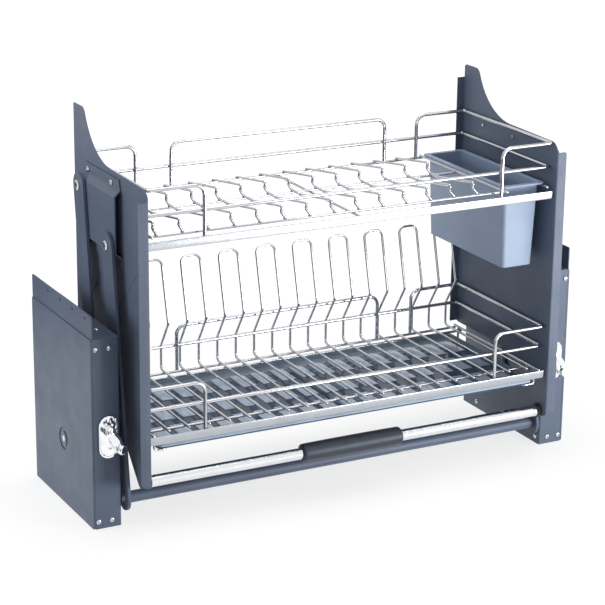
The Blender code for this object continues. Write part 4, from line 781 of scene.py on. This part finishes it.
def border_rails(shape, welds, shelf):
    """A shelf's closed second rail, its top rails with their posts, and the beads on the posts."""
    loop = (
        (-SIDE_RAIL_X, SECOND_FRONT_DEPTH),
        (SIDE_RAIL_X, SECOND_FRONT_DEPTH),
        (SIDE_RAIL_X, SECOND_BACK_DEPTH),
        (-SIDE_RAIL_X, SECOND_BACK_DEPTH),
    )
    rail(shape, [(at(x, depth, shelf.second), CORNER_BEND) for x, depth in loop], closed=True)
    middle = (
        (-shelf.middle, shelf.line, 0),
        (-shelf.middle, shelf.top, RAIL_BEND),
        (shelf.middle, shelf.top, RAIL_BEND),
        (shelf.middle, shelf.line, 0),
    )
    rail(shape, [(at(x, BACK_RAIL_DEPTH, height), bend) for x, height, bend in middle])
    between_back = (BACK_RAIL_DEPTH + SECOND_BACK_DEPTH) / 2
    between_front = (FRONT_RAIL_DEPTH + SECOND_FRONT_DEPTH) / 2
    for side in SIDES.values():
        post = side * POST_SPREAD
        corners = [
            (at(side * shelf.back, BACK_RAIL_DEPTH, shelf.line), 0),
            (at(side * shelf.back, BACK_RAIL_DEPTH, shelf.top), RAIL_BEND),
            (at(side * SIDE_RAIL_X, BACK_RAIL_DEPTH, shelf.top), CORNER_BEND),
            (at(side * SIDE_RAIL_X, FRONT_RAIL_DEPTH, shelf.top), CORNER_BEND),
            (at(post, FRONT_RAIL_DEPTH, shelf.top), RAIL_BEND),
            (at(post, FRONT_RAIL_DEPTH, shelf.bar + POST_FOOT_RISE), 0),
        ]
        rail(shape, corners)
        bead(welds, at(side * shelf.middle, between_back, shelf.second), POST_BEAD)
        bead(welds, at(side * shelf.back, between_back, shelf.second), POST_BEAD)
        bead(welds, at(post, between_front, shelf.second), POST_BEAD)
        foot = at(post, FRONT_RAIL_DEPTH - BAR_BEAD_FORWARD, shelf.bar + BAR_BEAD_RISE)
        bead(welds, foot, BAR_BEAD)


def make_upper_wires(surface, weld_surface):
    shape = bmesh.new()
    welds = bmesh.new()
    border_rails(shape, welds, UPPER)
    for depth, right_end in BOWL_LINES.items():
        rod(shape, at(-SIDE_ROD_X, depth, UPPER.line), at(right_end, depth, UPPER.line))
    wire_height = UPPER.line + WIRE_STEP
    weld_height = UPPER.line + WIRE_STEP / 2
    for index in range(BOWL_WIRE_COUNT):
        x = BOWL_WIRE_FIRST + index * BOWL_WIRE_PITCH
        corners = [(at(x, depth, wire_height + rise), bend) for depth, rise, bend in BOWL_PROFILE]
        wire(shape, corners, WIRE_DIAMETER)
        for depth in BOWL_LINES:
            bead(welds, at(x, depth, weld_height), BOWL_BEAD)
    for x in (-SIDE_ROD_X, BORDER_X, SIDE_ROD_X):
        rod(shape, at(x, BACK_END_DEPTH, wire_height), at(x, FRONT_END_DEPTH, wire_height))
        bead(welds, at(x, BACK_LINE_DEPTH, weld_height), LINE_BEAD)
    brace = UPPER.line - WIRE_STEP
    rod(shape, at(0, BACK_END_DEPTH, brace), at(0, FRONT_END_DEPTH, brace))
    for spread in (UPPER.middle, UPPER.back):
        for side in SIDES.values():
            place = at(side * spread, BACK_RAIL_DEPTH + SPREAD_BEAD_BACK, UPPER.line)
            bead(welds, place, SPREAD_BEAD)
    make_piece("upper_shelf_welds", welds, weld_surface, "rack")
    make_piece("upper_shelf_wires", shape, surface, "rack", ("upper_shelf_frame",))


def hairpin(shape, left, right):
    """Two floor wires that are one piece, bent up behind the shelf to hold plates on edge."""
    floor = LOWER.line + WIRE_STEP
    leg = [(HAIRPIN_DEPTH + back, floor + rise, bend) for back, rise, bend in HAIRPIN_LEG]
    corners = [(at(left, FLOOR_WIRE_FRONT, floor), 0)]
    corners += [(at(left, depth, height), bend) for depth, height, bend in leg]
    corners += [(at(right, depth, height), bend) for depth, height, bend in reversed(leg)]
    corners.append((at(right, FLOOR_WIRE_FRONT, floor), 0))
    wire(shape, corners, WIRE_DIAMETER)


def tray_runner(shape, welds, side):
    """A hanging wire runner for the drip tray."""
    top = LOWER.line + WIRE_STEP
    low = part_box("drip_tray")[0].z - RUNNER_GAP - RUNNER_DIAMETER / 2
    corners = (
        (RUNNER_LEG_X, RUNNER_FRONT, top, 0),
        (RUNNER_LEG_X, RUNNER_FRONT, low, RUNNER_BEND),
        (RUNNER_INNER_X, RUNNER_FRONT, low, RUNNER_BEND),
        (RUNNER_INNER_X, RUNNER_BACK, low, RUNNER_BEND),
        (RUNNER_LEG_X, RUNNER_BACK, low, RUNNER_BEND),
        (RUNNER_LEG_X, RUNNER_BACK, top, 0),
    )
    path = [(at(side * x, depth, height), bend) for x, depth, height, bend in corners]
    wire(shape, path, RUNNER_DIAMETER)
    for depth in (RUNNER_FRONT, RUNNER_BACK):
        bead(welds, at(side * RUNNER_BEAD_X, depth, top - RUNNER_BEAD_DROP), RUNNER_BEAD)


def make_lower_wires(surface, weld_surface):
    shape = bmesh.new()
    welds = bmesh.new()
    border_rails(shape, welds, LOWER)
    for depth in FLOOR_LINES:
        rod(shape, at(-SIDE_ROD_X, depth, LOWER.line), at(SIDE_ROD_X, depth, LOWER.line))
    wire_height = LOWER.line + WIRE_STEP
    weld_height = LOWER.line + WIRE_STEP / 2
    places = [FLOOR_WIRE_FIRST + index * FLOOR_WIRE_PITCH for index in range(FLOOR_WIRE_COUNT)]
    for x in places[:PLAIN_FLOOR_WIRES]:
        rod(shape, at(x, FLOOR_WIRE_FRONT, wire_height), at(x, FLOOR_WIRE_BACK, wire_height))
    for index in range(PLAIN_FLOOR_WIRES, FLOOR_WIRE_COUNT, 2):
        hairpin(shape, places[index], places[index + 1])
    for x in places:
        for depth in FLOOR_LINES:
            bead(welds, at(x, depth, weld_height), LINE_BEAD)
    behind = (HAIRPIN_DEPTH + SECOND_BACK_DEPTH) / 2
    for x in places[PLAIN_FLOOR_WIRES:]:
        bead(welds, at(x, behind, LOWER.second), HAIRPIN_BEAD)
    for side in SIDES.values():
        x = side * SIDE_ROD_X
        rod(shape, at(x, FLOOR_WIRE_BACK, wire_height), at(x, FRONT_END_DEPTH, wire_height))
        tray_runner(shape, welds, side)
    brace = LOWER.line - WIRE_STEP
    rod(shape, at(0, FLOOR_WIRE_BACK, brace), at(0, FRONT_END_DEPTH, brace))
    make_piece("lower_shelf_welds", welds, weld_surface, "rack")
    make_piece("lower_shelf_wires", shape, surface, "rack", ("lower_shelf_frame",))


def cross_recess_cutter(diameter, height):
    """The tapered cross that a driver's point leaves in a screw head."""
    shape = bmesh.new()
    reach, blade = diameter * RECESS_REACH, diameter * RECESS_BLADE
    point_reach, point_blade = reach * RECESS_POINT_REACH, blade * RECESS_POINT_BLADE
    for turn in (0, QUARTER_TURN):
        lower = turned_rectangle(shape, point_reach, point_blade, height * RECESS_BOTTOM, turn)
        upper = turned_rectangle(shape, reach, blade, height * RECESS_TOP, turn)
        bridge(shape, lower, upper)
    return shape


def turned_rectangle(shape, reach, half, height, turn):
    spin = Matrix.Rotation(turn, 3, "Z")
    corners = ((-reach, -half), (reach, -half), (reach, half), (-reach, half))
    return [shape.verts.new(spin @ Vector((x, y, height))) for x, y in corners]


def bridge(shape, lower, upper):
    """Closes the space between two rings of equal count into a solid."""
    count = len(lower)
    for index in range(count):
        following = (index + 1) % count
        shape.faces.new((lower[index], lower[following], upper[following], upper[index]))
    shape.faces.new(lower[::-1])
    shape.faces.new(upper)


def evaluated_mesh(made):
    """An object's mesh with its modifiers applied. The object is used up."""
    bpy.context.view_layer.update()
    depsgraph = bpy.context.evaluated_depsgraph_get()
    mesh = bpy.data.meshes.new_from_object(made.evaluated_get(depsgraph))
    bpy.data.objects.remove(made)
    return mesh


def cut_mesh(base, cutter):
    """A mesh from one shape with another cut out of it."""
    whole = link("whole", to_mesh("whole", base))
    tool = link("tool", to_mesh("tool", cutter))
    change = whole.modifiers.new("cut", "BOOLEAN")
    change.operation = "DIFFERENCE"
    change.solver = "EXACT"
    change.use_self = True
    change.object = tool
    mesh = evaluated_mesh(whole)
    bpy.data.objects.remove(tool)
    return mesh


def pan_profile(diameter, height):
    radius = diameter / 2
    return [(height * rise, radius * share) for rise, share in PAN_SHARES]


def screw_mesh(diameter, height):
    """A pan-head screw with a cross recess, standing on its own zero plane."""
    head = bmesh.new()
    neck = [(-height * PAN_NECK, diameter / 2 * PAN_NECK)]
    turned(head, neck + pan_profile(diameter, height), ORIGIN, UP, SCREW_SEGMENTS)
    return cut_mesh(head, cross_recess_cutter(diameter, height))


def put_mesh(name, mesh, base, direction, spin, surface, body, replaced=()):
    """Places a copy of a mesh with its own up along a direction and turned about it."""
    copy = mesh.copy()
    copy.materials.clear()
    copy.materials.append(surface)
    aim = direction.to_track_quat("Z", "Y").to_matrix().to_4x4()
    copy.transform(Matrix.Translation(base) @ aim @ Matrix.Rotation(spin, 4, "Z"))
    show(name, smoothed(copy), body, replaced)


def make_box_screws(surface):
    """Each box's small screws: four in its front, one in its top, two in its inner face."""
    head = screw_mesh(BOX_SCREW_DIAMETER, BOX_SCREW_HEIGHT)
    for side_name, side in SIDES.items():
        places = [
            (at(side * spread, 0, height), FORWARD)
            for spread in BOX_SCREW_SPREADS
            for height in (BOX_SCREW_LOW, BOX_SCREW_HIGH)
        ]
        x, depth, height = BOX_TOP_SCREW
        places.append((at(side * x, depth, height), UP))
        inward = Vector((-side, 0, 0))
        for depth in BOX_INNER_SCREW_DEPTHS:
            places.append((at(side * BOX_INNER, depth, BOX_SCREW_LOW), inward))
        for index, (place, direction) in enumerate(places):
            name = f"{side_name}_box_screw_{index + 1}"
            spin = BOX_SCREW_TURN + index * BOX_SCREW_TURN_STEP
            put_mesh(name, head, place, direction, spin, surface, "cabinet_boxes")


def make_bracket_screws(surface):
    """Recessed pan heads in place of the plain ones on each arm bracket."""
    head = BRACKET_SCREW_HEAD
    for side_name, side in SIDES.items():
        for index in range(BRACKET_SCREW_COUNT):
            node = f"{side_name}_bracket_screw_{index + 1}"
            low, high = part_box(node)
            diameter = high.y - low.y
            shank = diameter * BRACKET_SCREW_SHANK
            start = high.x - low.x - head
            profile = [(0, shank), (start, shank)]
            profile += [(start + rise, radius) for rise, radius in pan_profile(diameter, head)]
            shape = bmesh.new()
            turned(shape, profile, ORIGIN, UP, SCREW_SEGMENTS)
            cutter = cross_recess_cutter(diameter, head)
            bmesh.ops.translate(cutter, vec=(0, 0, start), verts=cutter.verts)
            mesh = cut_mesh(shape, cutter)
            outward = Vector((side, 0, 0))
            base = side_face(node, -side)
            spin = BRACKET_SCREW_TURN + index
            put_mesh(f"{node}_fine", mesh, base, outward, spin, surface, "rack", (node,))


def make_arm_bolts(surface):
    """Bevelled faces with a driver's socket on the arms' upper bolts."""
    for side_name, side in SIDES.items():
        for end in ("front", "rear"):
            node = f"{side_name}_{end}_arm_bolt"
            shape = bmesh.new()
            turned(shape, BOLT_PROFILE, side_face(node, side), Vector((side, 0, 0)))
            make_piece(f"{node}_socket", shape, surface, "rack")


def make_pin_ends(dark, bright):
    """The rear pivots' ends in the covers' windows: a dark stepped ring and a bright centre."""
    for side_name, side in SIDES.items():
        node = f"{side_name}_rear_pivot_pin"
        low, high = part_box(node)
        radius = (high.z - low.z) / 2
        for part, shares, surface in (
            ("ring", PIN_RING_PROFILE, dark),
            ("centre", PIN_CENTRE_PROFILE, bright),
        ):
            profile = [(distance, radius * share) for distance, share in shares]
            shape = bmesh.new()
            outward = Vector((side, 0, 0))
            turned(shape, profile, side_face(node, side), outward, ring=part == "ring")
            make_piece(f"{side_name}_rear_pin_{part}", shape, surface, f"{side_name}_rear_arm_body")


def make_panel_creases(surface):
    """Faint pressed creases on the outer face of each side panel."""
    for side_name, side in SIDES.items():
        shape = bmesh.new()
        for line in CREASE_LINES:
            corners = [
                (at(side * PANEL_OUTER, depth, height), bend) for depth, height, bend in line
            ]
            wire(shape, corners, CREASE_WIDTH)
        make_piece(f"{side_name}_panel_creases", shape, surface, "rack")


def make_foam_grip(surface):
    """The foam sleeve on the handle: slightly crowned, with soft rolled ends."""
    low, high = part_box("foam_grip")
    middle = (low + high) / 2
    length = high.x - low.x
    edge = (high.z - low.z) / 2 - FOAM_CROWN
    profile = []
    for step in range(FOAM_ROLL_STEPS + 1):
        turn = QUARTER_TURN * step / FOAM_ROLL_STEPS
        along = FOAM_ROLL - FOAM_ROLL * math.cos(turn)
        profile.append((along, edge - FOAM_ROLL + FOAM_ROLL * math.sin(turn)))
    for step in range(1, FOAM_LENGTH_STEPS):
        share = step / FOAM_LENGTH_STEPS
        crown = FOAM_CROWN * math.sin(math.pi * share) ** FOAM_CROWN_POWER
        profile.append((FOAM_ROLL + (length - 2 * FOAM_ROLL) * share, edge + crown))
    for step in range(FOAM_ROLL_STEPS + 1):
        turn = QUARTER_TURN * (1 - step / FOAM_ROLL_STEPS)
        along = length - FOAM_ROLL + FOAM_ROLL * math.cos(turn)
        profile.append((along, edge - FOAM_ROLL + FOAM_ROLL * math.sin(turn)))
    profile += [
        (length, FOAM_BORE + FOAM_BORE_BEVEL),
        (length - FOAM_BORE_BEVEL, FOAM_BORE),
        (FOAM_BORE_BEVEL, FOAM_BORE),
        (0, FOAM_BORE + FOAM_BORE_BEVEL),
    ]
    shape = bmesh.new()
    base = Vector((low.x, middle.y, middle.z))
    turned(shape, profile, base, Vector((1, 0, 0)), FOAM_SEGMENTS, ring=True)
    piece = make_piece("foam_sleeve", shape, surface, "rack", ("foam_grip",))


def make_adjuster_lever(side_name, surface):
    """The cast lever: the frame's own shape with filleted joins, as casting leaves them."""
    node = f"{side_name}_adjuster_lever"
    name = f"{node}_cast"
    low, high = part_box(node)
    hub = Vector((low.x + LEVER_HUB_RADIUS, 0, high.z - LEVER_HUB_RADIUS))
    knob = Vector((high.x - LEVER_KNOB_RADIUS, 0, low.z + LEVER_KNOB_RADIUS))
    bow = (hub + knob) / 2 + LEVER_BOW
    shape = bmesh.new()
    shape.from_mesh(FRAME["nodes"][node].data)
    stops = zip((hub, bow, knob), LEVER_ARM_DEPTHS, (0, LEVER_BEND, 0))
    corners = [(Vector((stop.x, low.y + depth, stop.z)), bend) for stop, depth, bend in stops]
    wire(shape, corners, LEVER_ARM_WIDTH)
    for end, depth, kind in (
        (hub, LEVER_HUB_DEPTH, (LEVER_HUB_RADIUS, LEVER_HUB_SQUASH)),
        (knob, LEVER_KNOB_DEPTH, (LEVER_KNOB_RADIUS, LEVER_KNOB_SQUASH)),
    ):
        bead(shape, Vector((end.x, low.y + depth, end.z)), kind)
    merged = bpy.data.meshes.new(f"{node}_parts")
    shape.to_mesh(merged)
    shape.free()
    merged.materials.clear()
    merged.materials.append(surface)
    copy = link(name, merged)
    remesh = copy.modifiers.new("skin", "REMESH")
    remesh.mode = "VOXEL"
    remesh.voxel_size = LEVER_VOXEL
    remesh.use_smooth_shade = True
    smooth = copy.modifiers.new("soften", "SMOOTH")
    smooth.factor = LEVER_SMOOTHING
    smooth.iterations = LEVER_SMOOTH_ROUNDS
    made = evaluated_mesh(copy)
    made.name = name
    made.shade_smooth()
    piece = show(name, made, f"{side_name}_adjuster", (node,))


def dress_frame(surfaces):
    """Gives every node of the frame the surface of its own slot."""
    for name, node in FRAME["nodes"].items():
        current = node.data.materials[0].name if node.data.materials else ""
        slot = next((key for key in surfaces if current.startswith(key)), None)
        if slot is None:
            raise ValueError(f"no surface for {name}: {current}")
        if name.endswith("pivot_pin"):
            slot = "pin_steel"
        for index in range(len(node.material_slots)):
            node.material_slots[index].material = surfaces[slot]


def stage_sheet(name, corners, material):
    """A flat piece of the set, which isn't part of the object."""
    mesh = bpy.data.meshes.new(name)
    mesh.from_pydata(corners, [], [(0, 1, 2, 3)])
    mesh.materials.append(material)
    sheet = link(name, mesh)
    return sheet


def make_floor():
    """A pale floor that keeps the shadow and fades to white away from the set; its weaker glow near
    the set is painted shade round the rack.
    """
    material = bpy.data.materials.new("pale_floor")
    tree = Tree(material)
    tree.nodes.clear()
    diffuse = tree.add("ShaderNodeBsdfDiffuse", {"Color": FLOOR_COLOUR}, "BSDF")
    place = tree.add("ShaderNodeTexCoord", output="Object")
    length = tree.add("ShaderNodeVectorMath", {0: place})
    length.operation = "LENGTH"
    path = tree.add("ShaderNodeLightPath")
    strength = 0.0
    # Painted shade: the glow is weaker near the set's middle, so the floor round the rack is darker
    for kind, (reach, strengths) in FLOOR_GLOW.items():
        inputs = {
            "Value": length.outputs["Value"],
            "From Min": reach[0],
            "From Max": reach[1],
            "To Min": strengths[0],
            "To Max": strengths[1],
        }
        grown = tree.add("ShaderNodeMapRange", inputs)
        grown.interpolation_type = "SMOOTHSTEP"
        share = tree.maths("MULTIPLY", grown.outputs["Result"], path.outputs[kind])
        strength = tree.maths("ADD", strength, share)
    glow = tree.add("ShaderNodeEmission", {"Color": WHITE, "Strength": strength}, "Emission")
    both = tree.add("ShaderNodeAddShader", {0: diffuse, 1: glow}, "Shader")
    tree.add("ShaderNodeOutputMaterial", {"Surface": both})
    ends = ((-1, -1), (1, -1), (1, 1), (-1, 1))
    corners = [(x * FLOOR_REACH, y * FLOOR_REACH, -FLOOR_DROP) for x, y in ends]
    stage_sheet("floor", corners, material)


def make_surround():
    world = bpy.data.worlds.new("surround")
    bpy.context.scene.world = world
    tree = Tree(world)
    path = tree.add("ShaderNodeLightPath")
    camera, glossy = path.outputs["Is Camera Ray"], path.outputs["Is Glossy Ray"]
    seen = tree.maths("MAXIMUM", camera, glossy)
    seen = tree.maths("MAXIMUM", seen, path.outputs["Is Transmission Ray"])
    gain = SURROUND_SEEN - SURROUND_UNSEEN
    strength = tree.maths("MULTIPLY_ADD", seen, gain, SURROUND_UNSEEN)
    tree.feed(tree.nodes["Background"], {"Color": WHITE, "Strength": strength})


def make_lamps():
    for name, (place, aim, size, power) in LAMPS.items():
        data = bpy.data.lights.new(name, "AREA")
        data.shape = "RECTANGLE"
        data.size, data.size_y = size
        data.energy = power
        lamp = link(name, data)
        lamp.location = place
        facing = Vector(aim) - Vector(place)
        lamp.rotation_euler = facing.to_track_quat("-Z", "Y").to_euler()


def make_flags():
    """Cards seen only in reflections, which give bright metal its dark edges."""
    for name, corners in FLAGS.items():
        material = bpy.data.materials.new(name)
        tree = Tree(material)
        inputs = {"Base Color": FLAG_COLOUR, "Roughness": FLAG_ROUGHNESS}
        tree.feed(tree.nodes["Principled BSDF"], inputs)
        card = stage_sheet(name, corners, material)
        card.visible_camera = False
        card.visible_diffuse = False
        card.visible_transmission = False
        card.visible_shadow = False


def make_camera():
    data = bpy.data.cameras.new("view")
    data.lens = CAMERA_LENS
    data.sensor_width = SENSOR_WIDTH
    data.sensor_fit = "HORIZONTAL"
    data.clip_end = CAMERA_REACH
    level, lift, roll = CAMERA_AZIMUTH, CAMERA_ELEVATION, CAMERA_ROLL
    flat = math.cos(lift)
    back = Vector((math.sin(level) * flat, -math.cos(level) * flat, math.sin(lift)))
    right = Vector((math.cos(level), math.sin(level), 0))
    up = back.cross(right)
    rolled_right = right * math.cos(roll) + up * math.sin(roll)
    rolled_up = up * math.cos(roll) - right * math.sin(roll)
    axes = Matrix((rolled_right, rolled_up, back)).transposed()
    camera = link("view", data)
    camera.matrix_world = Matrix.Translation(CAMERA_PLACE) @ axes.to_4x4()
    bpy.context.scene.camera = camera


def main():
    surfaces = make_surfaces()
    dress_frame(surfaces)
    make_camera()
    make_floor()
    make_surround()
    make_lamps()
    make_flags()
    make_upper_wires(surfaces["bright_wire"], surfaces["weld_steel"])
    make_lower_wires(surfaces["bright_wire"], surfaces["weld_steel"])
    for side_name in SIDES:
        for part, (surface, width) in SIDE_EDGES.items():
            softened(f"{side_name}_{part}", surfaces[surface], width)
        make_adjuster_lever(side_name, surfaces["cast_chrome"])
    for node, (surface, width) in MIDDLE_EDGES.items():
        softened(node, surfaces[surface], width)
    make_box_screws(surfaces["chrome_fasteners"])
    make_bracket_screws(surfaces["chrome_fasteners"])
    make_arm_bolts(surfaces["plain_steel"])
    make_pin_ends(surfaces["pin_steel"], surfaces["chrome_fasteners"])
    make_panel_creases(surfaces["dark_enamel"])
    make_foam_grip(surfaces["foam_rubber"])
    bpy.context.scene.view_settings.view_transform = "Standard"


main()
